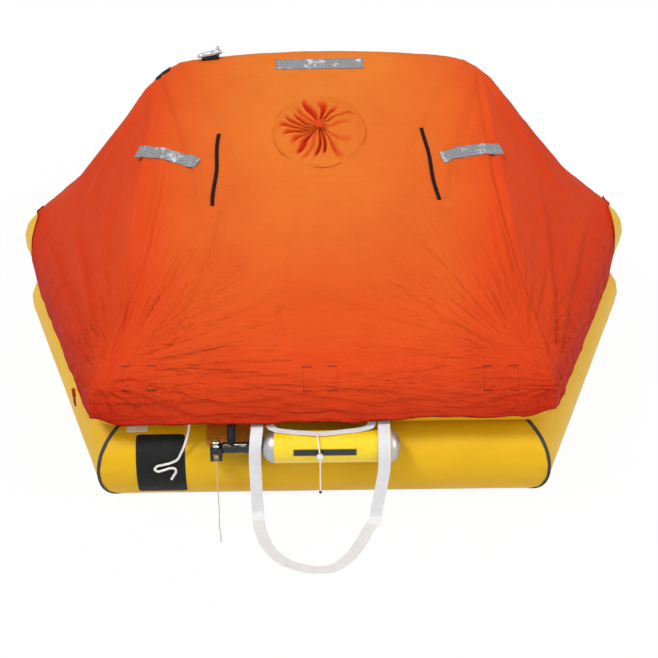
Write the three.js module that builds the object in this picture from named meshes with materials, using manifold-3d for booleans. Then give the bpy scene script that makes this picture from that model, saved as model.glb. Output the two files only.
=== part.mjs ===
// Inflated eight-person liferaft with two stacked buoyancy tubes, an arch-borne canopy and its front fittings.
// Millimetres, +Z up. The origin is the middle of the floor's underside and the entrance side faces -Y.
import * as THREE from 'three';
import { mergeVertices } from 'three/addons/utils/BufferGeometryUtils.js';
import Module from 'manifold-3d';

const wasm = await Module();
wasm.setup();

const { Vector2, Vector3 } = THREE;
const { sin, cos, tan, atan2, asin, acos, sqrt, hypot, PI, min, max, abs } = Math;
const degrees = PI / 180;
const up = new Vector3(0, 0, 1);

// General clearance between pieces that touch
const gap = 0.3;

// Buoyancy tubes: a hexagonal ring, given by its centreline
const tubeDiameter = 280;
const tubeSqueeze = 8.5;
const frontHalfWidth = 651;
const middleHalfWidth = 1039;
const halfLength = 1156;
const tubeSides = 30;
const tubeRadius = tubeDiameter / 2;

// Floor sheet and the water pockets folded flat in its underside
const floorThickness = 4;
const floorLap = 30;
const pocketLength = 420;
const pocketWidth = 300;
const pocketDepth = 2;
const pocketX = 380;
const pocketY = 600;

const lowerCentre = tubeRadius;
const upperCentre = lowerCentre + tubeDiameter - tubeSqueeze;

// Arch that carries the canopy, in the plane y = 0
const archRadius = 90;
const archCrownHeight = 1069;
const archCrownRise = 26;
const archHalfRidge = 480;
const archLegSlope = 50.5 * degrees;
const archShoulderX = 527;
const archShoulderRun = 70;
const archSides = 16;

// Canopy fabric, its skirt and its folds
const canopyThickness = 3;
const canopyClearance = 2;
const hemHeight = 328;
const hemHeightAtArch = 528;
const hemRise = 330;
const canopyFootHeight = 98;
const legShares = [0, 0.03, 0.06, 0.09, 0.12, 0.15, 0.18, 0.25, 0.375, 0.5, 0.625, 0.75, 0.875];
const foldedLegShares = [0.375, 0.625, 0.875];
const foldDepth = 8;
const panelGap = gap;

// Gas cylinder and its saddles on the lower tube
const cylinderRadius = 52;
const cylinderLeft = -204;
const cylinderRight = 254;
const cylinderLeftDome = 44;
const cylinderRightDome = 30;
const cylinderBearing = 35 * degrees;
const sleeveThickness = 0.8;
const saddleThickness = 4.6;
const saddleWidth = 60;
const saddleSpan = 62;
const saddleOffset = 110;

// Operating head on the cylinder's left neck
const neckRadius = 14;
const neckLength = 11;
const headRadius = 19;
const headLength = 116;
const housingWidth = 39;
const housingDepth = 44;
const housingHeight = 46;
const housingDrop = 40;
const nutRadius = 14.5;
const nutHeight = 23;
const pinWidth = 20;
const pinHeight = 22;
const pinDepth = 20;
const pinStandOut = 6;
const pinClearance = 0.5;

// Hose from the head to the inlet in the upper tube
const hoseRadius = 14;
const hoseX = -300;
const inletRadius = 29;
const inletHeight = 7;
const anchorBearing = -36 * degrees;

// Webbing and cords
const strapWidth = 40;
const strapThickness = 2;
const rungWidth = 26;
const rungThickness = 1.6;
const tieRadius = 2.5;
const toggleRadius = 12;
const beadRadius = 5.5;
const cableRadius = 1.7;
const cableBallRadius = 5;
const lineRadius = 4;
const anchorPatchWidth = 96;
const anchorPatchSpan = 22 * degrees;

// Patches and tapes bonded on the lower tube
const patchThickness = 1.2;
const seamTapeWidth = 17;

// Fittings on the canopy
const tapeThickness = 0.8;
const tapeWidth = 50;
const drapeGap = 0.8;
const creaseGap = 1.1;
const portRadius = 174;
const portRise = 34;
const portPleats = 12;
const webbingWidth = 15;
const webbingThickness = 1.6;
const skirtPatchWidth = 113;

// Valves on the tubes' inner walls
const valveX = 300;
const valveRadius = 28;
const valveHeight = 9;
const spigotRadius = 8;
const spigotHeight = 8;
const capRadius = 22;
const capHeight = 12;
const reliefRadius = 24;
const reliefHeight = 12;

// Oval ring on its tab at the canopy's left hem
const ringWire = 2.8;
const ringWidth = 30;
const ringHeight = 44;
const ringFromCorner = 143;
const ringTabWidth = 12;
const ringTabThickness = 1.8;

const raft = new THREE.Group();

function finish(colour, roughness, metalness = 0) {
  return new THREE.MeshStandardMaterial({ color: colour, roughness, metalness });
}

const tubeFabric = finish(0xe8b800, 0.55);
const canopyFabric = finish(0xf0561f, 0.8);
const floorFabric = finish(0x3a3a3c, 0.8);
const blackRubber = finish(0x1d1c1e, 0.7);
const blackPlastic = finish(0x18181a, 0.35);
const whiteWebbing = finish(0xe9e6e2, 0.85);
const blackWebbing = finish(0x201a1a, 0.85);
const bareAluminium = finish(0x9ea1a6, 0.35, 0.9);
const sleeveFilm = finish(0xf2cf10, 0.4);
const chrome = finish(0xc9ccd2, 0.15, 1);
const brass = finish(0xb98a4a, 0.35, 0.9);
const silverTape = finish(0xb9bcc2, 0.3, 0.4);
const clearPlastic = finish(0xdfe6ea, 0.1);
const whitePlastic = finish(0xe4e2de, 0.5);
const orangePatch = finish(0xc06a12, 0.7);
const redSteel = finish(0x8c2430, 0.25, 0.7);

// Closed geometry from shared vertices, turned so that its faces point out
function closedGeometry(points, faces) {
  const at = (i) => points[i];
  let volume = 0;
  for (const [a, b, c] of faces) {
    volume += at(a).dot(new Vector3().crossVectors(at(b), at(c)));
  }
  const turned = volume < 0 ? faces.map(([a, b, c]) => [a, c, b]) : faces;
  const geometry = new THREE.BufferGeometry();
  geometry.setAttribute('position', new THREE.Float32BufferAttribute(points.flatMap((p) => [p.x, p.y, p.z]), 3));
  geometry.setIndex(turned.flat());
  return geometry;
}

// Skin through sections with equal numbers of points, closed into a ring or capped at both ends
function loft(sections, ring = false) {
  const count = sections[0].length;
  const points = sections.flat();
  const faces = [];
  const spans = ring ? sections.length : sections.length - 1;
  for (let s = 0; s < spans; s += 1) {
    const here = s * count;
    const next = ((s + 1) % sections.length) * count;
    for (let i = 0; i < count; i += 1) {
      const j = (i + 1) % count;
      faces.push([here + i, here + j, next + j], [here + i, next + j, next + i]);
    }
  }
  if (!ring) {
    const last = (sections.length - 1) * count;
    for (let i = 1; i < count - 1; i += 1) {
      faces.push([0, i + 1, i], [last, last + i, last + i + 1]);
    }
  }
  return closedGeometry(points, faces);
}

// Sheet between an outer and an inner grid of points, both [row][column]
function sheet(outer, inner) {
  const rows = outer.length;
  const columns = outer[0].length;
  const points = [...outer.flat(), ...inner.flat()];
  const top = (r, c) => r * columns + c;
  const below = (r, c) => rows * columns + r * columns + c;
  const faces = [];
  for (let r = 0; r < rows - 1; r += 1) {
    for (let c = 0; c < columns - 1; c += 1) {
      faces.push([top(r, c), top(r + 1, c), top(r + 1, c + 1)], [top(r, c), top(r + 1, c + 1), top(r, c + 1)]);
      faces.push([below(r, c), below(r + 1, c + 1), below(r + 1, c)]);
      faces.push([below(r, c), below(r, c + 1), below(r + 1, c + 1)]);
    }
  }
  const wall = (a, b) => {
    faces.push([top(...a), top(...b), below(...b)], [top(...a), below(...b), below(...a)]);
  };
  for (let c = 0; c < columns - 1; c += 1) {
    wall([0, c], [0, c + 1]);
    wall([rows - 1, c + 1], [rows - 1, c]);
  }
  for (let r = 0; r < rows - 1; r += 1) {
    wall([r + 1, 0], [r, 0]);
    wall([r, columns - 1], [r + 1, columns - 1]);
  }
  return closedGeometry(points, faces);
}

function toSolid(geometry) {
  const bare = geometry.clone();
  bare.deleteAttribute('normal');
  bare.deleteAttribute('uv');
  const merged = mergeVertices(bare, 1e-4);
  return new wasm.Manifold(new wasm.Mesh({
    numProp: 3,
    vertProperties: new Float32Array(merged.attributes.position.array),
    triVerts: new Uint32Array(merged.index.array),
  }));
}

function toGeometry(solid) {
  const cut = solid.getMesh();
  const geometry = new THREE.BufferGeometry();
  geometry.setAttribute('position', new THREE.BufferAttribute(new Float32Array(cut.vertProperties), 3));
  geometry.setIndex(new THREE.BufferAttribute(new Uint32Array(cut.triVerts), 1));
  return geometry;
}

function subtract(geometry, ...cutters) {
  let solid = toSolid(geometry);
  for (const cutter of cutters) {
    solid = solid.subtract(toSolid(cutter));
  }
  return toGeometry(solid);
}

function join(...geometries) {
  return toGeometry(geometries.map(toSolid).reduce((whole, piece) => whole.add(piece)));
}

function place(name, geometry, material) {
  const mesh = new THREE.Mesh(geometry, material);
  mesh.name = name;
  raft.add(mesh);
  return mesh;
}

function box(lengthX, lengthY, lengthZ, centre) {
  return new THREE.BoxGeometry(lengthX, lengthY, lengthZ).translate(centre.x, centre.y, centre.z);
}

// Solid of revolution whose [radius, along] profile runs along a direction from a base point
function turned(profile, base, direction, segments = 28) {
  const lathe = new THREE.LatheGeometry(profile.map(([radius, along]) => new Vector2(radius, along)), segments);
  const turn = new THREE.Quaternion().setFromUnitVectors(new Vector3(0, 1, 0), direction.clone().normalize());
  return lathe.applyQuaternion(turn).translate(base.x, base.y, base.z);
}

function disc(radius, from, to, base, direction, segments = 28) {
  return turned([[0, from], [radius, from], [radius, to], [0, to]], base, direction, segments);
}

function ball(radius, centre) {
  return new THREE.SphereGeometry(radius, 14, 10).translate(centre.x, centre.y, centre.z);
}

// Round cord of a given radius along a smooth route
function cordAlong(route, radius, steps, sides = 8) {
  const section = new THREE.Shape();
  for (let i = 0; i < sides; i += 1) {
    const angle = (2 * PI * i) / sides;
    const point = [radius * cos(angle), radius * sin(angle)];
    if (i === 0) section.moveTo(...point);
    else section.lineTo(...point);
  }
  section.closePath();
  const path = new THREE.CatmullRomCurve3(route.map((p) => new Vector3(...p)), false, 'centripetal');
  return new THREE.ExtrudeGeometry(section, { steps, extrudePath: path, curveSegments: 1 });
}

// Flat webbing along a smooth route of [x, y, z, bearing of its width in plan]
function webbingAlong(route, width, thickness, steps) {
  const path = new THREE.CatmullRomCurve3(route.map(([x, y, z]) => new Vector3(x, y, z)), false, 'centripetal');
  const sections = [];
  for (let i = 0; i <= steps; i += 1) {
    const place = path.getUtoTmapping(i / steps) * (route.length - 1);
    const before = min(Math.floor(place), route.length - 2);
    const share = place - before;
    const bearing = (route[before][3] * (1 - share) + route[before + 1][3] * share) * degrees;
    const centre = path.getPoint(place / (route.length - 1));
    const along = path.getTangent(place / (route.length - 1));
    const level = new Vector3(cos(bearing), sin(bearing), 0);
    const across = level.addScaledVector(along, -level.dot(along)).normalize();
    const face = new Vector3().crossVectors(across, along);
    const corner = (a, b) => centre.clone()
      .addScaledVector(across, a * width / 2)
      .addScaledVector(face, b * thickness / 2);
    sections.push([corner(-1, -1), corner(1, -1), corner(1, 1), corner(-1, 1)]);
  }
  return loft(sections);
}

// Hexagonal centreline of the tubes, counter-clockwise from the front left corner
const corners = [
  new Vector2(-frontHalfWidth, -halfLength),
  new Vector2(frontHalfWidth, -halfLength),
  new Vector2(middleHalfWidth, 0),
  new Vector2(frontHalfWidth, halfLength),
  new Vector2(-frontHalfWidth, halfLength),
  new Vector2(-middleHalfWidth, 0),
];

function edgeDirection(index) {
  const from = corners[(index + 6) % 6];
  const to = corners[(index + 7) % 6];
  return to.clone().sub(from).normalize();
}

function outwardOf(direction) {
  return new Vector2(direction.y, -direction.x);
}

// Mitre at a corner: the way out and how far a tube's radius is stretched along it
function mitre(index) {
  const before = outwardOf(edgeDirection(index - 1));
  const after = outwardOf(edgeDirection(index));
  const out = before.clone().add(after).normalize();
  return { out, stretch: 1 / out.dot(after) };
}

function offsetCorner(index, distance) {
  const { out, stretch } = mitre(index);
  return corners[index].clone().addScaledVector(out, distance * stretch);
}

// Points of a tube's section as [outward, upward] from its centre, with flats where it is pressed
function tubeSection(radius, topFlat, bottomFlat) {
  const highest = topFlat < radius ? asin(topFlat / radius) : PI / 2;
  const lowest = bottomFlat < radius ? -asin(bottomFlat / radius) : -PI / 2;
  const steps = tubeSides / 2;
  const outerSide = [];
  for (let i = 0; i <= steps; i += 1) {
    const angle = lowest + ((highest - lowest) * i) / steps;
    outerSide.push([radius * cos(angle), radius * sin(angle)]);
  }
  const innerSide = outerSide.map(([outward, upward]) => [-outward, upward]).reverse();
  return [...outerSide, ...innerSide].filter(([outward, upward], i, all) => {
    const [previousOut, previousUp] = all[(i + all.length - 1) % all.length];
    return hypot(outward - previousOut, upward - previousUp) > 1e-3;
  });
}

function tubeRing(radius, centre, topFlat = radius, bottomFlat = radius) {
  const section = tubeSection(radius, topFlat, bottomFlat);
  const sections = corners.map((_, index) => section.map(([outward, upward]) => {
    const point = offsetCorner(index, outward);
    return new Vector3(point.x, point.y, centre + upward);
  }));
  return loft(sections, true);
}

// Hexagonal slab whose outline is the tubes' centreline moved outward
function hexagonSlab(distance, from, to) {
  const level = (z) => corners.map((_, index) => {
    const point = offsetCorner(index, distance);
    return new Vector3(point.x, point.y, z);
  });
  return loft([level(from), level(to)]);
}

const contactHeight = (lowerCentre + upperCentre) / 2;

function upperTube(radius) {
  const bottomFlat = (upperCentre - contactHeight - gap / 2) * (radius / tubeRadius);
  return tubeRing(radius, upperCentre, radius, bottomFlat);
}

function makeTubes() {
  const lower = tubeRing(tubeRadius, lowerCentre, contactHeight - gap / 2 - lowerCentre, lowerCentre - floorThickness - gap);
  const upper = upperTube(tubeRadius);
  place('lower_buoyancy_tube', lower, tubeFabric);
  place('upper_buoyancy_tube', upper, tubeFabric);
}

function makeFloor() {
  const places = [[0, -1, 'front'], [0, 1, 'rear']];
  const recess = (x, y) => box(pocketLength, pocketWidth, 2 * pocketDepth, new Vector3(x * pocketX, y * pocketY, 0));
  const slab = hexagonSlab(floorLap, 0, floorThickness);
  place('floor_sheet', subtract(slab, ...places.map(([x, y]) => recess(x, y))), floorFabric);
  for (const [x, y, name] of places) {
    const height = pocketDepth - gap;
    const centre = new Vector3(x * pocketX, y * pocketY, height / 2);
    const pocket = box(pocketLength - 2 * gap, pocketWidth - 2 * gap, height, centre);
    place(`ballast_pocket_${name}`, pocket, blackWebbing);
  }
}

// Tape over the mitred seam at a corner of the lower tube
function makeSeamTape(index, name) {
  const { out, stretch } = mitre(index);
  const before = edgeDirection(index - 1);
  const after = edgeDirection(index);
  const from = -asin((lowerCentre - 4 * floorThickness) / tubeRadius);
  const to = asin((contactHeight - 4 * gap - lowerCentre) / tubeRadius);
  const steps = 14;
  const grid = (radius) => Array.from({ length: steps + 1 }, (_, i) => {
    const angle = from + ((to - from) * i) / steps;
    const middle = corners[index].clone().addScaledVector(out, radius * cos(angle) * stretch);
    const height = lowerCentre + radius * sin(angle);
    const moved = (direction, distance) => {
      const point = middle.clone().addScaledVector(direction, distance);
      return new Vector3(point.x, point.y, height);
    };
    return [moved(before, -seamTapeWidth / 2), moved(before, 0), moved(after, seamTapeWidth / 2)];
  });
  const inner = (tubeRadius + gap) / cos((to - from) / steps / 2);
  place(name, sheet(grid(inner + patchThickness), grid(inner)), blackRubber);
}

function makeSeamTapes() {
  makeSeamTape(0, 'seam_tape_front_left');
  makeSeamTape(1, 'seam_tape_front_right');
  makeSeamTape(3, 'seam_tape_rear_right');
  makeSeamTape(4, 'seam_tape_rear_left');
}

// Point in front of the straight front tube, at a bearing above its equator
function frontPoint(x, bearing, radius, centre) {
  return new Vector3(x, -halfLength - radius * cos(bearing), centre + radius * sin(bearing));
}

// Thin piece wrapped on the straight front tube
function frontWrap({ left, right, from, to, inner, thickness, centre, steps = 12 }) {
  const chordSlack = 1 / cos((to - from) / steps / 2);
  const grid = (radius) => Array.from({ length: steps + 1 }, (_, i) => {
    const bearing = from + ((to - from) * i) / steps;
    const reach = radius * chordSlack;
    return [frontPoint(left, bearing, reach, centre), frontPoint(right, bearing, reach, centre)];
  });
  return sheet(grid(inner + thickness), grid(inner));
}

function makeTubePatches() {
  const inner = tubeRadius + gap;
  const common = { inner, thickness: patchThickness, centre: lowerCentre };
  const black = { left: -622, right: -459, from: -38 * degrees, to: 56 * degrees, ...common };
  const behindHead = { left: -388, right: -240, from: 38 * degrees, to: 72 * degrees, ...common };
  const scuffed = { left: -655, right: -585, from: 60 * degrees, to: 70 * degrees, ...common };
  place('front_patch', frontWrap(black), blackRubber);
  place('head_backing_patch', frontWrap(behindHead), orangePatch);
  place('lifeline_patch', frontWrap(scuffed), whiteWebbing);
}

// Arch centreline from the left foot to the right one, with its shoulders rounded
function archPath() {
  const ridgeEndHeight = archCrownHeight - archCrownRise;
  const ridgeSlope = atan2(2 * archCrownRise, archHalfRidge);
  const shoulderHeight = ridgeEndHeight - (archShoulderX - archHalfRidge) * tan(ridgeSlope);
  const legStartX = archShoulderX + archShoulderRun * cos(archLegSlope);
  const legStartHeight = shoulderHeight - archShoulderRun * sin(archLegSlope);
  const ridgeStartX = archShoulderX - archShoulderRun * cos(ridgeSlope);
  const ridgeStartHeight = shoulderHeight + archShoulderRun * sin(ridgeSlope);
  const footHeight = upperCentre + 0.55 * tubeRadius;
  const footX = (height) => legStartX + (legStartHeight - height) / tan(archLegSlope);
  const canopyFoot = upperCentre + canopyFootHeight;
  const crownControl = ridgeStartHeight + ridgeStartX * tan(ridgeSlope);
  const at = (x, z) => new Vector3(x, 0, z);
  return {
    foot: at(-footX(footHeight), footHeight),
    canopyFoot: at(-footX(canopyFoot), canopyFoot),
    legEnd: at(-legStartX, legStartHeight),
    shoulder: at(-archShoulderX, shoulderHeight),
    ridgeStart: at(-ridgeStartX, ridgeStartHeight),
    crown: at(0, crownControl),
  };
}

const arch = archPath();
const mirrored = (point) => new Vector3(-point.x, point.y, point.z);
const archCurves = {
  leftShoulder: new THREE.QuadraticBezierCurve3(arch.legEnd, arch.shoulder, arch.ridgeStart),
  ridge: new THREE.QuadraticBezierCurve3(arch.ridgeStart, arch.crown, mirrored(arch.ridgeStart)),
};

function makeArch() {
  const path = new THREE.CurvePath();
  const curveBack = new THREE.QuadraticBezierCurve3(mirrored(arch.ridgeStart), mirrored(arch.shoulder), mirrored(arch.legEnd));
  path.add(new THREE.LineCurve3(arch.foot, arch.legEnd));
  path.add(archCurves.leftShoulder);
  path.add(archCurves.ridge);
  path.add(curveBack);
  path.add(new THREE.LineCurve3(mirrored(arch.legEnd), mirrored(arch.foot)));
  const stations = [
    [0, 1],
    [0.25, 0.5, 0.75, 1],
    [0.25, 0.5, 0.75, 1],
    [0.25, 0.5, 0.75, 1],
    [1],
  ];
  const sections = stations.flatMap((shares, c) => shares.map((share) => {
    const curve = path.curves[c];
    const centre = curve.getPoint(share);
    const along = curve.getTangent(share);
    const out = new Vector3(-along.z, 0, along.x);
    return Array.from({ length: archSides }, (_, i) => {
      const angle = (2 * PI * i) / archSides;
      const point = centre.clone().addScaledVector(out, archRadius * cos(angle));
      point.y += archRadius * sin(angle);
      return point;
    });
  }));
  place('arch_tube', subtract(loft(sections), upperTube(tubeRadius + 2 * gap)), tubeFabric);
}

// Places along the arch and along the tubes' front rim that one line of canopy fabric joins
function canopyStations() {
  const shoulderSteps = 6;
  const ridgeSteps = 8;
  const middle = corners[5];
  const corner = corners[0];
  const sideOut = outwardOf(edgeDirection(5));
  const frontOut = outwardOf(edgeDirection(0));
  const turn = acos(sideOut.dot(frontOut));
  const sideLength = middle.distanceTo(corner);
  const legNormal = new Vector3(-sin(archLegSlope), 0, cos(archLegSlope));
  const left = [];
  for (const share of legShares) {
    const bend = mitre(5);
    const atMiddle = share === 0;
    left.push({
      centre: arch.canopyFoot.clone().lerp(arch.legEnd, share),
      normal: legNormal,
      rim: middle.clone().lerp(corner, share),
      out: atMiddle ? bend.out : sideOut,
      stretch: atMiddle ? bend.stretch : 1,
      sideOut,
      frontOut,
      frontShare: 0,
      fromMiddle: share * sideLength,
      fold: foldedLegShares.includes(share) ? 1 : 0,
    });
  }
  for (let i = 0; i <= shoulderSteps; i += 1) {
    const share = i / shoulderSteps;
    const along = archCurves.leftShoulder.getTangent(share);
    const angle = share * turn;
    left.push({
      centre: archCurves.leftShoulder.getPoint(share),
      normal: new Vector3(-along.z, 0, along.x),
      rim: corner,
      out: sideOut.clone().rotateAround(new Vector2(), angle),
      stretch: 1 / cos(min(angle, turn - angle)),
      sideOut,
      frontOut,
      frontShare: min(1, 2 * share),
      fromMiddle: sideLength,
      fold: i % 2 === 1 ? 1 : 0,
    });
  }
  const ridge = [];
  for (let i = 1; i < ridgeSteps; i += 1) {
    const share = i / ridgeSteps;
    const along = archCurves.ridge.getTangent(share);
    ridge.push({
      centre: archCurves.ridge.getPoint(share),
      normal: new Vector3(-along.z, 0, along.x),
      rim: corner.clone().lerp(corners[1], share),
      out: frontOut,
      stretch: 1,
      sideOut,
      frontOut,
      frontShare: 1,
      fromMiddle: sideLength,
      fold: 0,
    });
  }
  const right = left.map((station) => ({
    ...station,
    centre: mirrored(station.centre),
    normal: mirrored(station.normal),
    rim: new Vector2(-station.rim.x, station.rim.y),
    out: new Vector2(-station.out.x, station.out.y),
    sideOut: new Vector2(-station.sideOut.x, station.sideOut.y),
  })).reverse();
  return [...left, ...ridge, ...right];
}

const stations = canopyStations();

function smooth(share) {
  const held = min(max(share, 0), 1);
  return held * held * (3 - 2 * held);
}

// One line of fabric from the ridge over the tube to the hem, at a distance from the canopy's inner face
function canopyLine(station, lift) {
  const archSteps = 3;
  const slopeSteps = 5;
  const wrapSteps = 6;
  const archSize = archRadius + canopyClearance + lift;
  const tubeSize = tubeRadius + canopyClearance + lift;
  const hub = new Vector3(station.rim.x, station.rim.y, upperCentre);
  const out = new Vector3(station.out.x, station.out.y, 0);
  const onArch = (angle) => station.centre.clone()
    .addScaledVector(station.normal, archSize * cos(angle))
    .add(new Vector3(0, -archSize * sin(angle), 0));
  const onTube = (angle) => hub.clone()
    .addScaledVector(out, tubeSize * station.stretch * sin(angle))
    .addScaledVector(up, tubeSize * cos(angle));
  let leave = 0.5;
  let meet = 0.5;
  for (let round = 0; round < 12; round += 1) {
    const toTube = onTube(meet).sub(station.centre);
    const reach = hypot(toTube.dot(station.normal), -toTube.y);
    leave = max(0, atan2(-toTube.y, toTube.dot(station.normal)) - acos(min(1, archSize / reach)));
    const toArch = onArch(leave).sub(hub);
    const touch = (facing) => {
      const across = toArch.x * facing.x + toArch.y * facing.y;
      return atan2(across, toArch.z) + acos(min(1, tubeSize / hypot(across, toArch.z)));
    };
    meet = touch(station.sideOut) * (1 - station.frontShare) + touch(station.frontOut) * station.frontShare;
  }
  const hem = hemHeight + (hemHeightAtArch - hemHeight) * (1 - smooth(station.fromMiddle / hemRise));
  const hemAngle = acos(min(1, max(0, (hem - upperCentre) / tubeSize)));
  const end = max(hemAngle, meet + 4 * degrees);
  const line = [];
  for (let i = 0; i <= archSteps; i += 1) line.push(onArch((leave * i) / archSteps));
  const contact = onTube(meet);
  const departure = line[line.length - 1];
  const outAtContact = out.clone().multiplyScalar(sin(meet)).addScaledVector(up, cos(meet));
  const foldAt = (share) => station.fold * foldDepth * smooth((share - 0.4) / 0.6);
  for (let i = 1; i < slopeSteps; i += 1) {
    const share = i / slopeSteps;
    line.push(departure.clone().lerp(contact, share).addScaledVector(outAtContact, foldAt(share)));
  }
  for (let i = 0; i <= wrapSteps; i += 1) {
    const angle = meet + ((end - meet) * i) / wrapSteps;
    const away = out.clone().multiplyScalar(sin(angle)).addScaledVector(up, cos(angle));
    line.push(onTube(angle).addScaledVector(away, foldAt(1)));
  }
  const last = line[line.length - 1];
  const drop = max(upperCentre - hem, 3);
  const fall = end >= PI / 2 - 1e-6 ? new Vector3(0, 0, -1) : out.clone().multiplyScalar(cos(end)).addScaledVector(up, -sin(end));
  line.push(last.clone().addScaledVector(fall, end >= PI / 2 - 1e-6 ? drop : 3));
  return line.map((point) => new Vector3(point.x, min(point.y, -panelGap / 2), point.z));
}

function canopyPanel(side) {
  const turnRound = (point) => new Vector3(point.x, side * point.y, point.z);
  const grid = (lift) => stations.map((station) => canopyLine(station, lift).map(turnRound));
  return sheet(grid(canopyThickness), grid(0));
}

const canopyFront = place('canopy_front', canopyPanel(1), canopyFabric);
place('canopy_rear', canopyPanel(-1), canopyFabric);

// Plane that the canopy's front slope lies in, given by its fall below level
const archOuter = archRadius + canopyClearance + canopyThickness;
const tubeOuter = tubeRadius + canopyClearance + canopyThickness;
const slopeSpan = hypot(halfLength, archCrownHeight - upperCentre);
const slopeFall = atan2(archCrownHeight - upperCentre, halfLength) - asin((tubeOuter - archOuter) / slopeSpan);
const slopeNormal = new Vector3(0, -sin(slopeFall), cos(slopeFall));
const slopeDown = new Vector3(0, -cos(slopeFall), -sin(slopeFall));
const slopeTop = new Vector3(0, 0, archCrownHeight).addScaledVector(slopeNormal, archOuter);

// Point on the canopy under a place on the front slope, given across and down from the ridge
function onCanopy(across, down, lift = 0) {
  const above = slopeTop.clone().addScaledVector(slopeDown, down).addScaledVector(slopeNormal, 3 * tubeRadius);
  above.x += across;
  const ray = new THREE.Raycaster(above, slopeNormal.clone().negate());
  const hit = ray.intersectObject(canopyFront)[0];
  return hit.point.clone().addScaledVector(slopeNormal, lift);
}

// Flat piece laid on the canopy along a line from one place to another, both given across and down
function laidStrip(from, to, width, thickness, steps, clear = drapeGap) {
  const start = new Vector2(...from);
  const finishAt = new Vector2(...to);
  const side = finishAt.clone().sub(start).normalize().rotateAround(new Vector2(), PI / 2);
  const rows = 3;
  const grid = (lift) => Array.from({ length: steps + 1 }, (_, i) => Array.from({ length: rows }, (__, j) => {
    const centre = start.clone().lerp(finishAt, i / steps);
    const spot = centre.addScaledVector(side, width * (j / (rows - 1) - 0.5));
    return onCanopy(spot.x, spot.y, lift);
  }));
  return sheet(grid(clear + thickness), grid(clear));
}

function makeCanopyTrim() {
  const tape = (from, to, clear) => laidStrip(from, to, tapeWidth, tapeThickness, 14, clear);
  place('reflective_tape_top', tape([-164, 26], [160, 26], drapeGap), silverTape);
  place('reflective_tape_left', tape([-665, 384], [-438, 491], creaseGap), silverTape);
  place('reflective_tape_right', tape([430, 474], [653, 402], creaseGap), silverTape);
  const tie = (from, to) => laidStrip(from, to, webbingWidth, webbingThickness, 8);
  place('door_tie_left', tie([-367, 351], [-378, 685]), blackWebbing);
  place('door_tie_right', tie([366, 342], [412, 669]), blackWebbing);
}

// Sleeve of the round port, gathered shut into pleats that run to a knot
function makePort() {
  const across = -4;
  const down = 356;
  const rings = [1, 0.93, 0.7, 0.4, 0.14];
  const heights = [0.06, 0.3, 0.42, 0.62, 1];
  const pleatDepth = [0, 0.25, 0.5, 0.6, 0.3];
  const segments = 4 * portPleats;
  const level = (r, i, lifted) => {
    const angle = (2 * PI * i) / segments;
    const pleat = 0.5 - 0.5 * cos(portPleats * angle);
    const spot = onCanopy(across + portRadius * rings[r] * cos(angle), down + portRadius * rings[r] * sin(angle));
    const height = lifted ? portRise * (heights[r] - pleatDepth[r] * heights[r] * pleat) : 0;
    return spot.addScaledVector(slopeNormal, drapeGap + height);
  };
  const around = (r, lifted) => Array.from({ length: segments }, (_, i) => level(r, i, lifted));
  const order = [...rings.keys()];
  const sections = [...[...order].reverse().map((r) => around(r, false)), ...order.map((r) => around(r, true))];
  const topCentre = onCanopy(across, down, drapeGap);
  place('port_sleeve', loft(sections), canopyFabric);
  const knotBase = topCentre.clone().addScaledVector(slopeNormal, portRise + 2 * gap);
  const knot = [[0, 0], [16, 0], [24, 4], [22, 10], [10, 14], [0, 15]];
  place('port_knot', turned(knot, knotBase, slopeNormal, 16), canopyFabric);
}

// Patch on the skirt over the front tube, between two bearings above the tube's equator
function skirtPatch(middle, from, to) {
  const steps = 8;
  const columns = 4;
  const surface = (x, bearing) => {
    const start = frontPoint(x, bearing, 2 * tubeRadius, upperCentre);
    const inward = new Vector3(0, cos(bearing), -sin(bearing));
    return 2 * tubeRadius - new THREE.Raycaster(start, inward).intersectObject(canopyFront)[0].distance;
  };
  const grid = (lift) => Array.from({ length: steps + 1 }, (_, i) => Array.from({ length: columns + 1 }, (__, j) => {
    const bearing = (from + ((to - from) * i) / steps) * degrees;
    const x = middle + skirtPatchWidth * (j / columns - 0.5);
    return frontPoint(x, bearing, surface(x, bearing) + lift, upperCentre);
  }));
  return sheet(grid(drapeGap + tapeThickness), grid(drapeGap));
}

function makeSkirtPatches() {
  place('skirt_patch_left', skirtPatch(-590, 18, 52), canopyFabric);
  place('skirt_patch_centre', skirtPatch(-6, 15, 48), canopyFabric);
  place('skirt_patch_right', skirtPatch(578, 13, 46), canopyFabric);
}

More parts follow.
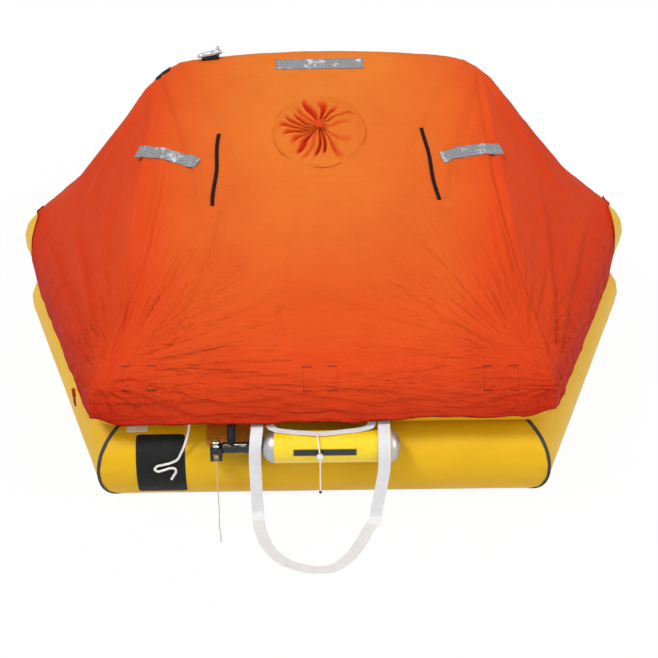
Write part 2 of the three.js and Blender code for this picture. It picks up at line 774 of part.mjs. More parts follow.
// Light on the ridge, left of the middle
function makeLight() {
  const share = 0.06;
  const along = archCurves.ridge.getTangent(share).normalize();
  const normal = new Vector3(-along.z, 0, along.x);
  const seat = archCurves.ridge.getPoint(share).addScaledVector(normal, archOuter + 2 * gap);
  const turn = new THREE.Matrix4().makeBasis(along, new Vector3(0, 1, 0), normal).setPosition(seat);
  const baseLength = 66;
  const baseWidth = 34;
  const baseHeight = 8;
  const bodyTilt = 7 * degrees;
  const base = box(baseLength, baseWidth, baseHeight, new Vector3(0, 0, baseHeight / 2)).applyMatrix4(turn);
  const profile = [[0, -48], [8, -46], [11, -38], [11.5, 20], [9, 40], [6, 47], [0, 48]];
  const flat = box(200, 100, 40, new Vector3(0, 0, baseHeight - 20 + gap));
  const lying = turned(profile, new Vector3(0, 0, 0), new Vector3(cos(bodyTilt), 0, sin(bodyTilt)), 16)
    .translate(0, 0, baseHeight + 9);
  const body = subtract(lying, flat).applyMatrix4(turn);
  const lensFoot = new Vector3(32, 0, baseHeight + 9 + 32 * tan(bodyTilt) + 10.5);
  const lens = turned([[0, 0], [7, 0], [7, 8], [5, 12], [0, 14]], lensFoot, up, 14).applyMatrix4(turn);
  const capped = toSolid(body).subtract(toSolid(disc(7 + gap, -gap, 40, lensFoot, up, 14).applyMatrix4(turn)));
  place('light_base', base, blackRubber);
  place('light_body', toGeometry(capped), bareAluminium);
  place('light_lens', lens, clearPlastic);
}

// Black tab sewn over the left shoulder
function makeShoulderTab() {
  const wrap = 13 * degrees;
  const first = stations.findIndex((station) => station.centre.equals(archCurves.leftShoulder.getPoint(1 / 6)));
  const chosen = stations.slice(first, first + 3);
  const grid = (radius) => chosen.map(({ centre, normal }) => Array.from({ length: 7 }, (_, i) => {
    const angle = wrap * (i / 3 - 1);
    const point = centre.clone().addScaledVector(normal, radius * cos(angle));
    point.y += radius * sin(angle);
    return point;
  }));
  place('shoulder_tab', sheet(grid(archOuter + 2.4), grid(archOuter + 0.6)), blackWebbing);
}

const cylinderAxis = frontPoint(0, cylinderBearing, tubeRadius + saddleThickness + cylinderRadius, lowerCentre);
const toRight = new Vector3(1, 0, 0);

function cylinderPoint(x, angle, radius) {
  return new Vector3(x, cylinderAxis.y - radius * sin(angle), cylinderAxis.z + radius * cos(angle));
}

function makeCylinder() {
  const length = cylinderRight - cylinderLeft;
  const base = new Vector3(cylinderLeft, cylinderAxis.y, cylinderAxis.z);
  const domeSteps = 5;
  const dome = (depth) => Array.from({ length: domeSteps + 1 }, (_, i) => {
    const angle = (PI / 2) * (i / domeSteps);
    return [cylinderRadius * sin(angle), depth * (1 - cos(angle))];
  });
  const leftDome = dome(cylinderLeftDome);
  const rightDome = dome(cylinderRightDome).map(([radius, along]) => [radius, length - along]).reverse();
  place('gas_cylinder', turned([...leftDome, ...rightDome], base, toRight), bareAluminium);
  const inside = cylinderRadius + gap;
  const outside = inside + sleeveThickness;
  const from = cylinderLeftDome;
  const to = length - cylinderRightDome;
  const ring = [[inside, from], [outside, from], [outside, to], [inside, to], [inside, from]];
  place('cylinder_sleeve', turned(ring, base, toRight), sleeveFilm);
  const bearing = new Vector3(0, -cos(cylinderBearing), sin(cylinderBearing));
  const nest = new THREE.Matrix4().makeBasis(toRight, new Vector3().crossVectors(bearing, toRight), bearing);
  for (const [side, name] of [[-1, 'left'], [1, 'right']]) {
    const middle = (cylinderLeft + cylinderRight) / 2 + side * saddleOffset;
    const seat = frontPoint(middle, cylinderBearing, tubeRadius + saddleThickness / 2, lowerCentre);
    const block = box(saddleWidth, saddleSpan, 24, new Vector3()).applyMatrix4(nest.clone().setPosition(seat));
    const tube = new THREE.CylinderGeometry(tubeRadius + gap, tubeRadius + gap, 4 * saddleWidth, 60)
      .rotateZ(PI / 2).translate(middle, -halfLength, lowerCentre);
    const bottle = disc(outside + gap, 0, 4 * saddleWidth, new Vector3(middle - 2 * saddleWidth, base.y, base.z), toRight, 56);
    place(`cylinder_saddle_${name}`, subtract(block, tube, bottle), blackRubber);
  }
}

const headRight = cylinderLeft - neckLength;
const headLeft = headRight - headLength;
const housingX = headLeft - gap - housingWidth / 2;
const housingTop = cylinderAxis.z - housingDrop + housingHeight;
const pinZ = housingTop - housingHeight + pinHeight / 2 + 5;
const housingFront = cylinderAxis.y - housingDepth / 2;
const pinFront = housingFront - pinStandOut;

function makeOperatingHead() {
  const axisAt = (x) => new Vector3(x, cylinderAxis.y, cylinderAxis.z);
  const bore = disc(neckRadius + gap, 0, neckLength + 2 * gap, axisAt(headRight - gap), toRight);
  place('valve_neck', disc(neckRadius, gap, neckLength - gap, axisAt(headRight), toRight), brass);
  const body = [[0, 0], [headRadius - 3, 0], [headRadius, 3], [headRadius, headLength - 4], [headRadius - 4, headLength], [0, headLength]];
  place('operating_head', subtract(turned(body, axisAt(headLeft), toRight), bore), blackPlastic);
  const housing = box(housingWidth, housingDepth, housingHeight, new Vector3(housingX, cylinderAxis.y, housingTop - housingHeight / 2));
  const pocketWide = pinWidth + 2 * pinClearance;
  const pocketTall = pinHeight + 2 * pinClearance;
  const pocketLong = pinDepth + gap;
  const pocket = box(pocketWide, pocketLong + 20, pocketTall, new Vector3(housingX, housingFront - 10 + pocketLong / 2, pinZ));
  place('firing_housing', subtract(housing, pocket), blackPlastic);
  const nut = [[0, 0], [nutRadius, 0], [nutRadius, 5], [nutRadius - 2, 6], [nutRadius - 2, 15], [nutRadius, 16], [nutRadius, nutHeight - 2], [nutRadius - 2, nutHeight], [0, nutHeight]];
  place('swivel_nut', turned(nut, new Vector3(housingX, cylinderAxis.y, housingTop + gap), up, 20), chrome);
  const block = box(pinWidth, pinDepth, pinHeight, new Vector3(housingX, housingFront + pinDepth / 2, pinZ));
  const lug = box(8, pinStandOut + 1, 14, new Vector3(housingX, pinFront + (pinStandOut + 1) / 2, pinZ - pinHeight / 2 + 7));
  place('firing_pin', join(block, lug), brass);
}

function makeHose() {
  const outward = new Vector3(0, -cos(anchorBearing), sin(anchorBearing));
  const seat = frontPoint(hoseX, anchorBearing, tubeRadius, upperCentre);
  const flange = disc(inletRadius, -12, inletHeight, seat, outward, 24);
  const tube = new THREE.CylinderGeometry(tubeRadius + gap, tubeRadius + gap, 8 * inletRadius, 60)
    .rotateZ(PI / 2).translate(hoseX, -halfLength, upperCentre);
  place('inlet_flange', subtract(flange, tube), blackRubber);
  const top = seat.clone().addScaledVector(outward, inletHeight + gap);
  const route = [
    top.toArray(),
    top.clone().addScaledVector(outward, 12).toArray(),
    [hoseX, cylinderAxis.y - 1, cylinderAxis.z + headRadius + 22],
    [hoseX, cylinderAxis.y, cylinderAxis.z + headRadius - 4],
  ];
  const hose = cordAlong(route, hoseRadius, 10, 12);
  const head = disc(headRadius + gap, 0, headLength + 40, new Vector3(headLeft - 20, cylinderAxis.y, cylinderAxis.z), toRight, 56);
  place('inlet_hose', subtract(hose, head), blackRubber);
}

// Boarding strap: two legs from under the skirt and a loop laid on the floor in front
const strapRest = strapThickness / 2 + 0.5;
const strapSeat = tubeRadius + patchThickness + strapThickness + gap / 2;
const strapStart = frontPoint(-214, anchorBearing, strapSeat, upperCentre);
const strapEnd = frontPoint(199, anchorBearing, strapSeat, upperCentre);
const boardingRoute = [
  [...strapStart.toArray(), 0],
  [-216, -1303, 313, 0],
  [-219, -1331, 292, 0],
  [-222, -1343, 262, 0],
  [-224, -1345, 200, 0],
  [-223, -1346, 120, 0],
  [-222, -1347, 50, 0],
  [-221, -1351, 16, 0],
  [-219, -1366, 3, 0],
  [-215, -1400, strapRest, 5],
  [-203, -1460, strapRest, 13],
  [-180, -1528, strapRest, 25],
  [-145, -1584, strapRest, 41],
  [-95, -1626, strapRest, 61],
  [-30, -1648, strapRest, 86],
  [22, -1642, strapRest, 109],
  [66, -1604, strapRest, 135],
  [98, -1552, strapRest, 151],
  [126, -1484, strapRest, 158],
  [148, -1424, strapRest, 161],
  [162, -1396, 4, 167],
  [170, -1382, 18, 174],
  [176, -1378, 60, 180],
  [188, -1377, 130, 180],
  [198, -1376.5, 200, 180],
  [199, -1376, 250, 180],
  [199, -1366, 284, 180],
  [199, -1338, 307, 180],
  [199, -1304, 317, 180],
  [...strapEnd.toArray(), 180],
];

const rungLeft = frontPoint(-176, anchorBearing, tubeRadius + patchThickness + rungThickness + 3 * gap, upperCentre);
const rungRight = frontPoint(160, anchorBearing, tubeRadius + patchThickness + rungThickness + 3 * gap, upperCentre);
const rungRoute = [
  [...rungLeft.toArray(), 0],
  [-174, -1288, 318, 8],
  [-156, -1303, 311.5, 50],
  [-110, -1314, 308.8, 76],
  [-60, -1322, 308.6, 81],
  [-19, -1328, 308.6, 90],
  [20, -1325, 308.6, 98],
  [70, -1316, 308.6, 102],
  [128, -1305, 310.5, 118],
  [157, -1292, 316.5, 172],
  [...rungRight.toArray(), 180],
];

// Tie cord from the rung's middle, over the cylinder and down in front of the tube
const tieRoute = [
  [-19, -1328, 312.6],
  [-18.5, -1343, 312.6],
  [-17, -1357, 308],
  [-15, -1371, 294],
  [-12, -1380, 276],
  [-10, -1384, 255],
  [-10, -1383, 236],
  [-10.5, -1381, 190],
  [-11, -1380, 150],
  [-11, -1380, 122],
];

const cableStart = new Vector3(housingX, pinFront + cableRadius + 1.5, pinZ - pinHeight / 2 - gap);
const cableRoute = [
  cableStart.toArray(),
  [housingX, pinFront + 1, 150],
  [-350, -1346, 70],
  [-350, -1347, 30],
  [-349.7, -1351, 13],
  [-349.4, -1359, 4.8],
  [-349, -1373, 2.6],
  [-346, -1410, 2.4],
  [-340, -1450, 2.4],
  [-336.5, -1484, 2.4],
];

const lineStart = frontPoint(-438, anchorBearing, tubeRadius + lineRadius + patchThickness - gap, upperCentre);
const lineRoute = [
  lineStart.toArray(),
  [-444, -1280, 292],
  [-456, -1286, 250],
  [-470, -1290, 218],
  [-484, -1294, 194],
  [-506, -1297, 183],
  [-532, -1299, 177],
  [-552, -1300, 172],
  [-560, -1302, 162],
  [-550, -1304, 155],
  [-530, -1304, 160],
  [-508, -1305, 168],
  [-493, -1305, 166],
  [-490, -1304, 153],
  [-498, -1303, 138],
  [-507, -1302, 122],
];

function makeStrapsAndCords() {
  const wrap = (middle) => frontWrap({
    left: middle - anchorPatchWidth / 2,
    right: middle + anchorPatchWidth / 2,
    from: anchorBearing - anchorPatchSpan / 2,
    to: anchorBearing + anchorPatchSpan / 2,
    inner: tubeRadius + gap,
    thickness: patchThickness,
    centre: upperCentre,
    steps: 4,
  });
  place('strap_anchor_left', wrap(-197), blackRubber);
  place('strap_anchor_right', wrap(180), blackRubber);
  place('line_anchor', wrap(-438), blackRubber);
  place('boarding_strap', webbingAlong(boardingRoute, strapWidth, strapThickness, 76), whiteWebbing);
  place('ladder_top_strap', webbingAlong(rungRoute, rungWidth, rungThickness, 24), whiteWebbing);
  place('tie_cord', cordAlong(tieRoute, tieRadius, 26), whiteWebbing);
  const toggleAt = new Vector3(-10, -1384, 255);
  const through = new THREE.CylinderGeometry(tieRadius + 2, tieRadius + 2, 4 * toggleRadius, 12).rotateX(PI / 2);
  const bored = subtract(ball(toggleRadius, new Vector3()), through);
  place('tie_toggle', bored.translate(toggleAt.x, toggleAt.y, toggleAt.z), whitePlastic);
  const tieEnd = new Vector3(...tieRoute[tieRoute.length - 1]);
  place('tie_bead', ball(beadRadius, tieEnd.clone().add(new Vector3(0, 0, -beadRadius - gap))), blackPlastic);
  place('firing_cable', cordAlong(cableRoute, cableRadius, 40), brass);
  const cableEnd = new Vector3(...cableRoute[cableRoute.length - 1]);
  place('cable_ball', ball(cableBallRadius, new Vector3(cableEnd.x, cableEnd.y - cableBallRadius - gap, cableBallRadius + gap)), whitePlastic);
  place('white_line', cordAlong(lineRoute, lineRadius, 60), whiteWebbing);
}

// Valves on the inner wall of the front tubes, which face +Y
function makeValves() {
  const inward = new Vector3(0, 1, 0);
  for (const [centre, level] of [[lowerCentre, 'lower'], [upperCentre, 'upper']]) {
    const tube = new THREE.CylinderGeometry(tubeRadius + gap, tubeRadius + gap, 12 * valveRadius, 60)
      .rotateZ(PI / 2).translate(0, -halfLength, centre);
    const cutBy = (x) => tube.clone().translate(x, 0, 0);
    const wall = (x) => new Vector3(x, -halfLength + tubeRadius, centre);
    const seat = disc(valveRadius, -12, valveHeight, wall(valveX), inward, 24);
    const spigot = disc(spigotRadius, 0, valveHeight + spigotHeight, wall(valveX), inward, 24);
    place(`topping_valve_${level}`, subtract(join(seat, spigot), cutBy(valveX)), blackPlastic);
    const cap = disc(capRadius, valveHeight + gap, valveHeight + capHeight, wall(valveX), inward, 24);
    const socket = disc(spigotRadius + 2 * gap, 0, valveHeight + spigotHeight + gap, wall(valveX), inward, 24);
    const grip = box(2 * capRadius - 4, 8, 6, wall(valveX).add(new Vector3(0, valveHeight + capHeight + 3, 0)));
    place(`topping_cap_${level}`, subtract(join(cap, grip), socket), blackPlastic);
    const relief = turned([[0, -12], [reliefRadius, -12], [reliefRadius, 6], [reliefRadius - 6, reliefHeight], [0, reliefHeight]], wall(-valveX), inward, 24);
    place(`relief_valve_${level}`, subtract(relief, cutBy(-valveX)), whitePlastic);
  }
}

// Oval ring that hangs by a webbing tab from the hem on the left side, near the front corner
function makeRing() {
  const along = edgeDirection(5);
  const out = outwardOf(along);
  const foot = corners[0].clone().addScaledVector(along, -ringFromCorner);
  const sideways = new Vector3(-along.x, -along.y, 0);
  const outward = new Vector3(out.x, out.y, 0);
  const innerRound = ringWire + 1;
  const outerRound = innerRound + ringTabThickness;
  const distance = tubeOuter + foldDepth + outerRound + gap;
  const top = new Vector3(foot.x, foot.y, hemHeight - 14).addScaledVector(outward, distance);
  const frame = new THREE.Matrix4().makeBasis(sideways, outward, up).setPosition(top);
  const turnRadius = 9;
  const halfWide = ringWidth / 2 - ringWire;
  const tall = ringHeight - 2 * ringWire;
  const path = [];
  const cornersOfRing = [[1, 0, 90], [1, 1, 0], [-1, 1, -90], [-1, 0, 180]];
  for (const [side, low, startAngle] of cornersOfRing) {
    const centreX = side * (halfWide - turnRadius);
    const centreZ = low ? -tall + turnRadius : -turnRadius;
    for (let i = 0; i <= 4; i += 1) {
      const angle = (startAngle - (90 * i) / 4) * degrees;
      path.push(new Vector2(centreX + turnRadius * cos(angle), centreZ + turnRadius * sin(angle)));
    }
  }
  const sides = 8;
  const sections = path.map((spot, index) => {
    const before = path[(index + path.length - 1) % path.length];
    const after = path[(index + 1) % path.length];
    const tangent = after.clone().sub(before).normalize();
    const normal = new Vector2(tangent.y, -tangent.x);
    return Array.from({ length: sides }, (_, i) => {
      const angle = (2 * PI * i) / sides;
      const shifted = spot.clone().addScaledVector(normal, ringWire * cos(angle));
      return new Vector3(shifted.x, ringWire * sin(angle), shifted.y);
    });
  });
  place('skirt_ring', loft(sections, true).applyMatrix4(frame), redSteel);
  const rise = 26;
  const loop = (radius, sheetRise) => {
    const points = [];
    for (let i = 0; i <= 8; i += 1) {
      const angle = PI + (PI * i) / 8;
      points.push([radius * cos(angle), radius * sin(angle)]);
    }
    points.push([radius, sheetRise], [-radius, sheetRise]);
    return points;
  };
  const slab = (points, half) => loft([-half, half].map((x) => points.map(([y, z]) => new Vector3(x, y, z))));
  const outer = slab(loop(outerRound, rise), ringTabWidth / 2);
  const eye = slab(loop(innerRound, innerRound + 1), ringTabWidth);
  place('ring_tab', subtract(outer, eye).applyMatrix4(frame), canopyFabric);
}

makeTubes();
makeFloor();
makeSeamTapes();
makeTubePatches();
makeArch();
makeCanopyTrim();
makePort();
makeSkirtPatches();
makeLight();
makeShoulderTab();
makeCylinder();
makeOperatingHead();
makeHose();
makeStrapsAndCords();
makeValves();
makeRing();

export default raft;
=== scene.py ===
import math

import bmesh
import bpy
import numpy as np
from mathutils import Matrix, Vector, noise
from mathutils.bvhtree import BVHTree


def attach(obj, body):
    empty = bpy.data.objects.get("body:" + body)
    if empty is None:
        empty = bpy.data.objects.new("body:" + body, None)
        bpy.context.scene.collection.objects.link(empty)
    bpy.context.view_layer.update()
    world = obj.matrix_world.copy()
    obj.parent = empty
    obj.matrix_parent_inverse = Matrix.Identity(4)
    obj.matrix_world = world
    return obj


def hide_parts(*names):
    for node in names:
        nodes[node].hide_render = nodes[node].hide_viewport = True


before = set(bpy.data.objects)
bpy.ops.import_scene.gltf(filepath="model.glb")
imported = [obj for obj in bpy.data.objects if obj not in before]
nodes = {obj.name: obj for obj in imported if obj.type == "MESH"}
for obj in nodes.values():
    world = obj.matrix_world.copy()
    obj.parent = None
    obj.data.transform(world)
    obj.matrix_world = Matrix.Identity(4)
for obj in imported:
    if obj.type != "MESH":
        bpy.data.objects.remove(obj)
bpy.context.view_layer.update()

BODY = "raft_body"

# Sizes of the raft in millimetres, as in its solid model
TUBE = 140.0
ARCH = 90.0
Z_LOW = 140.0
Z_UP = 411.5
Z_TOUCH = 275.75
CORNERS = [(-651, -1156), (651, -1156), (1039, 0), (651, 1156), (-651, 1156), (-1039, 0)]
CROWN, RISE, HALF_RIDGE = 1069.0, 26.0, 480.0
LEG = math.radians(50.5)
SHOULDER_X, SHOULDER_RUN = 527.0, 70.0
HEM, HEM_MIDDLE, HEM_RISE = 328.0, 528.0, 330.0

# The camera of the photograph: where it stands, its three axes and its focal length in pixels
CAM_AT = np.array([54.5, -5616.6, 2972.0])
CAM_FORWARD = np.array([-0.00602, 0.88311, -0.46913])
CAM_RIGHT = np.array([0.99989, -0.00102, -0.01474])
CAM_DOWN = np.array([-0.01350, -0.46916, -0.88301])
CAM_FOCAL = 1548.9


def to_picture(points):
    """Places in the 658-pixel picture of points in millimetres."""
    rel = np.asarray(points, float) - CAM_AT
    depth = rel @ CAM_FORWARD
    return np.stack([329 + CAM_FOCAL * (rel @ CAM_RIGHT) / depth,
                     329 + CAM_FOCAL * (rel @ CAM_DOWN) / depth], axis=-1)


def make_camera():
    cam = bpy.data.objects.new("camera", bpy.data.cameras.new("camera"))
    bpy.context.scene.collection.objects.link(cam)
    r, u, b = CAM_RIGHT, -CAM_DOWN, -CAM_FORWARD
    cam.matrix_world = Matrix([[r[0], u[0], b[0], CAM_AT[0] / 1000],
                               [r[1], u[1], b[1], CAM_AT[1] / 1000],
                               [r[2], u[2], b[2], CAM_AT[2] / 1000],
                               [0, 0, 0, 1]])
    cam.data.sensor_fit = "HORIZONTAL"
    cam.data.sensor_width = 36.0
    cam.data.lens = 84.74
    cam.data.clip_start, cam.data.clip_end = 0.1, 100.0
    bpy.context.scene.camera = cam


make_camera()


# Materials

def linear(r, g, b):
    def one(c):
        c = c / 255
        return c / 12.92 if c <= 0.04045 else ((c + 0.055) / 1.055) ** 2.4
    return (one(r), one(g), one(b), 1.0)


class Nodes:
    """A short way to write a node tree."""

    def __init__(self, name):
        self.mat = bpy.data.materials.new(name)
        self.mat.use_nodes = True
        self.tree = self.mat.node_tree
        self.tree.nodes.clear()
        self.out = self.tree.nodes.new("ShaderNodeOutputMaterial")

    def new(self, kind, **values):
        node = self.tree.nodes.new(kind)
        for key, value in values.items():
            if hasattr(node, key):
                setattr(node, key, value)
            else:
                node.inputs[key.replace("_", " ")].default_value = value
        return node

    def link(self, a, b):
        self.tree.links.new(a, b)

    def place(self, scale=(1, 1, 1)):
        coords = self.new("ShaderNodeTexCoord")
        mapping = self.new("ShaderNodeMapping")
        mapping.inputs["Scale"].default_value = scale
        self.link(coords.outputs["Object"], mapping.inputs["Vector"])
        return mapping.outputs["Vector"]

    def noise(self, scale, detail=4.0, rough=0.55, where=(1, 1, 1)):
        node = self.new("ShaderNodeTexNoise", Scale=scale, Detail=detail, Roughness=rough)
        self.link(self.place(where), node.inputs["Vector"])
        return node.outputs["Fac"]

    def mix_colour(self, share, a, b):
        node = self.new("ShaderNodeMix", data_type="RGBA")
        for socket, value in ((0, share), (6, a), (7, b)):
            if isinstance(value, bpy.types.NodeSocket):
                self.link(value, node.inputs[socket])
            else:
                node.inputs[socket].default_value = value
        return node.outputs[2]

    def ramp(self, value, low, high, a=0.0, b=1.0):
        node = self.new("ShaderNodeMapRange", clamp=True)
        self.link(value, node.inputs["Value"])
        for key, v in (("From Min", low), ("From Max", high), ("To Min", a), ("To Max", b)):
            node.inputs[key].default_value = v
        return node.outputs["Result"]

    def maths(self, operation, a, b=0.0):
        node = self.new("ShaderNodeMath", operation=operation)
        for i, value in enumerate((a, b)):
            if isinstance(value, bpy.types.NodeSocket):
                self.link(value, node.inputs[i])
            else:
                node.inputs[i].default_value = value
        return node.outputs[0]

    def bump(self, height, distance, strength=1.0, after=None):
        node = self.new("ShaderNodeBump", Strength=strength, Distance=distance)
        self.link(height, node.inputs["Height"])
        if after is not None:
            self.link(after, node.inputs["Normal"])
        return node.outputs["Normal"]

    def weave(self, pitch):
        """Threads of a plain weave, a given distance apart in metres, on three axes."""
        total = None
        for axis in ("X", "Y", "Z"):
            wave = self.new("ShaderNodeTexWave", wave_type="BANDS", bands_direction=axis,
                            Scale=0.05 / pitch * 6.2832 / 2.0)
            self.link(self.place(), wave.inputs["Vector"])
            total = wave.outputs["Fac"] if total is None else self.maths("ADD", total, wave.outputs["Fac"])
        return total

    def surface(self, colour, rough, metal=0.0, normal=None, **extra):
        shader = self.new("ShaderNodeBsdfPrincipled")
        for key, value in (("Base Color", colour), ("Roughness", rough), ("Metallic", metal)):
            if isinstance(value, bpy.types.NodeSocket):
                self.link(value, shader.inputs[key])
            else:
                shader.inputs[key].default_value = value
        for key, value in extra.items():
            shader.inputs[key.replace("_", " ")].default_value = value
        if normal is not None:
            self.link(normal, shader.inputs["Normal"])
        self.link(shader.outputs[0], self.out.inputs["Surface"])
        return shader


def attribute(n, name):
    node = n.new("ShaderNodeAttribute", attribute_name=name)
    return node.outputs["Fac"]


def canopy_material(name, use_painted_light_shade=True):
    n = Nodes(name)
    base = linear(222, 72, 24)
    light = linear(226, 126, 44)
    deep = linear(188, 24, 8)
    # Painted light and shade: this attribute mixes in the light orange where light shines through the cloth, and the
    # deep red where shade falls on the sides, low round the rim and in the gathers.
    if use_painted_light_shade:
        painted_light_shade = attribute(n, "painted_light_shade")
        colour = n.mix_colour(n.ramp(painted_light_shade, 0.5, 1.0), base, light)
        colour = n.mix_colour(n.ramp(painted_light_shade, 0.5, 0.0), colour, deep)
    else:
        colour = base
    blotch = n.noise(3.2, 5.0, 0.6)
    colour = n.mix_colour(n.ramp(blotch, 0.35, 0.7, 0.0, 0.22), colour, deep)
    fine = n.noise(420.0, 2.0, 0.6)
    colour = n.mix_colour(n.ramp(fine, 0.4, 0.75, 0.0, 0.12), colour, light)
    where = n.new("ShaderNodeSeparateXYZ")
    n.link(n.place(), where.inputs[0])
    x, y, z = where.outputs
    dx = n.maths("SUBTRACT", n.maths("ABSOLUTE", x), 0.665)
    dy = n.maths("SUBTRACT", n.maths("ABSOLUTE", y), 1.25)
    reach = n.maths("SQRT", n.maths("ADD", n.maths("MULTIPLY", dx, dx), n.maths("MULTIPLY", dy, dy)))
    bearing = n.maths("ARCTAN2", dx, dy)
    fan = n.new("ShaderNodeCombineXYZ")
    n.link(n.maths("MULTIPLY", bearing, 4.2), fan.inputs[0])
    n.link(n.maths("MULTIPLY", reach, 1.1), fan.inputs[1])
    n.link(n.maths("MULTIPLY", x, 0.9), fan.inputs[2])
    rays = n.new("ShaderNodeTexNoise", noise_type="RIDGED_MULTIFRACTAL", Scale=1.0, Detail=3.0, Roughness=0.55,
                 Offset=1.0, Gain=1.5)
    n.link(fan.outputs[0], rays.inputs["Vector"])
    ray_share = n.maths("MULTIPLY", n.ramp(reach, 0.05, 0.22), n.ramp(reach, 1.25, 0.35))
    rays_height = n.maths("MULTIPLY", rays.outputs["Fac"], ray_share)
    lengthwise = n.new("ShaderNodeTexNoise", noise_type="RIDGED_MULTIFRACTAL", Scale=1.0, Detail=4.0,
                       Roughness=0.6, Distortion=0.6, Offset=1.0, Gain=1.5)
    n.link(n.place((3.2, 15, 15)), lengthwise.inputs["Vector"])
    over_tube = n.maths("MULTIPLY", lengthwise.outputs["Fac"], n.ramp(z, 0.6, 0.44, 0.16, 1.0))
    normal = n.bump(rays_height, 0.010, 1.0)
    normal = n.bump(over_tube, 0.0062, 0.95, normal)
    normal = n.bump(n.noise(40.0, 5.0, 0.6, (0.6, 1.4, 1.4)), 0.0036, 0.75, normal)
    normal = n.bump(n.weave(0.0011), 0.00012, 0.5, normal)
    rough = n.ramp(n.noise(60.0, 3.0), 0.3, 0.7, 0.66, 0.8)
    n.surface(colour, rough, 0.0, normal, Specular_IOR_Level=0.1)
    return n.mat


def tube_material():
    n = Nodes("yellow_proofed_fabric")
    base = linear(228, 180, 12)
    amber = linear(206, 150, 10)
    blotch = n.noise(4.0, 5.0, 0.6)
    colour = n.mix_colour(n.ramp(blotch, 0.3, 0.75, 0.0, 0.35), base, amber)
    scuff = n.noise(22.0, 7.0, 0.7, (1, 1, 2.5))
    colour = n.mix_colour(n.ramp(scuff, 0.62, 0.78, 0.0, 0.3), colour, linear(236, 204, 84))
    normal = n.bump(n.noise(26.0, 5.0, 0.6), 0.0016, 0.7)
    normal = n.bump(n.weave(0.0013), 0.0001, 0.45, normal)
    rough = n.ramp(n.noise(15.0, 4.0), 0.3, 0.7, 0.42, 0.56)
    n.surface(colour, rough, 0.0, normal, Specular_IOR_Level=0.26)
    return n.mat


def webbing_material(name, colour_a, colour_b, pitch=0.0016, rough=0.85):
    n = Nodes(name)
    soil = n.noise(45.0, 5.0, 0.6)
    colour = n.mix_colour(n.ramp(soil, 0.35, 0.75, 0.0, 0.6), colour_a, colour_b)
    normal = n.bump(n.weave(pitch), 0.0004, 0.8)
    normal = n.bump(n.noise(160.0, 3.0), 0.0005, 0.6, normal)
    n.surface(colour, rough, 0.0, normal, Specular_IOR_Level=0.2)
    return n.mat


def solid_material(name, colour, rough, metal=0.0, spots=None, grain=180.0, depth=0.0002, **extra):
    n = Nodes(name)
    spots = spots or tuple(c * 0.72 for c in colour[:3]) + (1.0,)
    mixed = n.mix_colour(n.ramp(n.noise(55.0, 5.0, 0.6), 0.35, 0.75, 0.0, 0.7), colour, spots)
    normal = n.bump(n.noise(grain, 4.0, 0.6), depth, 0.7)
    roughness = n.ramp(n.noise(70.0, 3.0), 0.3, 0.7, max(0.02, rough - 0.07), min(1.0, rough + 0.07))
    n.surface(mixed, roughness, metal, normal, **extra)
    return n.mat


def reflective_material():
    """Silver film with a net of welded cells, crumpled a little, with bright patches of painted highlight."""
    n = Nodes("silver_reflective_film")
    cells = n.new("ShaderNodeTexVoronoi", feature="DISTANCE_TO_EDGE", Scale=150.0, Randomness=0.25)
    n.link(n.place(), cells.inputs["Vector"])
    net = n.ramp(cells.outputs["Distance"], 0.0, 0.14)
    colour = n.mix_colour(net, linear(92, 94, 98), linear(150, 152, 156))
    painted_glint = n.noise(24.0, 4.0, 0.7)
    # painted highlight: bright patches where the crumpled film would catch the light
    colour = n.mix_colour(n.ramp(painted_glint, 0.55, 0.66, 0.0, 0.8), colour, linear(226, 228, 232))
    normal = n.bump(n.noise(55.0, 5.0, 0.65), 0.003, 0.8)
    n.surface(colour, n.ramp(painted_glint, 0.3, 0.7, 0.6, 0.35), 0.1, normal, Specular_IOR_Level=0.3)
    return n.mat


def twill_material():
    n = Nodes("dark_twill_tape")
    wave = n.new("ShaderNodeTexWave", wave_type="BANDS", bands_direction="DIAGONAL", Scale=160.0,
                 Distortion=0.4)
    n.link(n.place(), wave.inputs["Vector"])
    colour = n.mix_colour(n.ramp(wave.outputs["Fac"], 0.2, 0.9), linear(30, 30, 34), linear(74, 74, 80))
    normal = n.bump(wave.outputs["Fac"], 0.0004, 0.8)
    n.surface(colour, 0.8, 0.0, normal)
    return n.mat


def sleeve_material():
    """Yellow film round the cylinder with one plain dark bar."""
    n = Nodes("yellow_sleeve_film")
    colour = n.mix_colour(n.ramp(n.noise(30.0, 4.0), 0.35, 0.7, 0.0, 0.3),
                          linear(246, 214, 22), linear(222, 180, 14))
    bar = attribute(n, "bar")
    colour = n.mix_colour(bar, colour, linear(24, 24, 26))
    normal = n.bump(n.noise(70.0, 3.0), 0.0007, 0.6)
    n.surface(colour, 0.3, 0.0, normal, Coat_Weight=0.2)
    return n.mat


CANOPY = canopy_material("orange_canopy_fabric")
CANOPY_PLAIN = canopy_material("orange_canopy_trim", use_painted_light_shade=False)
YELLOW = tube_material()
WHITE_WEB = webbing_material("white_webbing", linear(232, 233, 236), linear(214, 215, 219))
WHITE_CORD = webbing_material("white_cord", linear(250, 248, 246), linear(224, 220, 214), 0.0009)
CABLE = webbing_material("cable_sheath", linear(226, 196, 168), linear(190, 176, 166), 0.0007, 0.5)
BLACK_WEB = webbing_material("black_webbing", linear(22, 10, 10), linear(40, 16, 14), 0.0014)
BLACK_RUBBER = solid_material("black_rubber", linear(16, 16, 17), 0.6, grain=260.0, depth=0.0004,
                              Specular_IOR_Level=0.25)
BLACK_PLASTIC = solid_material("black_plastic", linear(20, 20, 22), 0.3, grain=300.0)
DARK_FLOOR = solid_material("floor_fabric", linear(60, 60, 62), 0.7, grain=700.0, depth=0.0003)
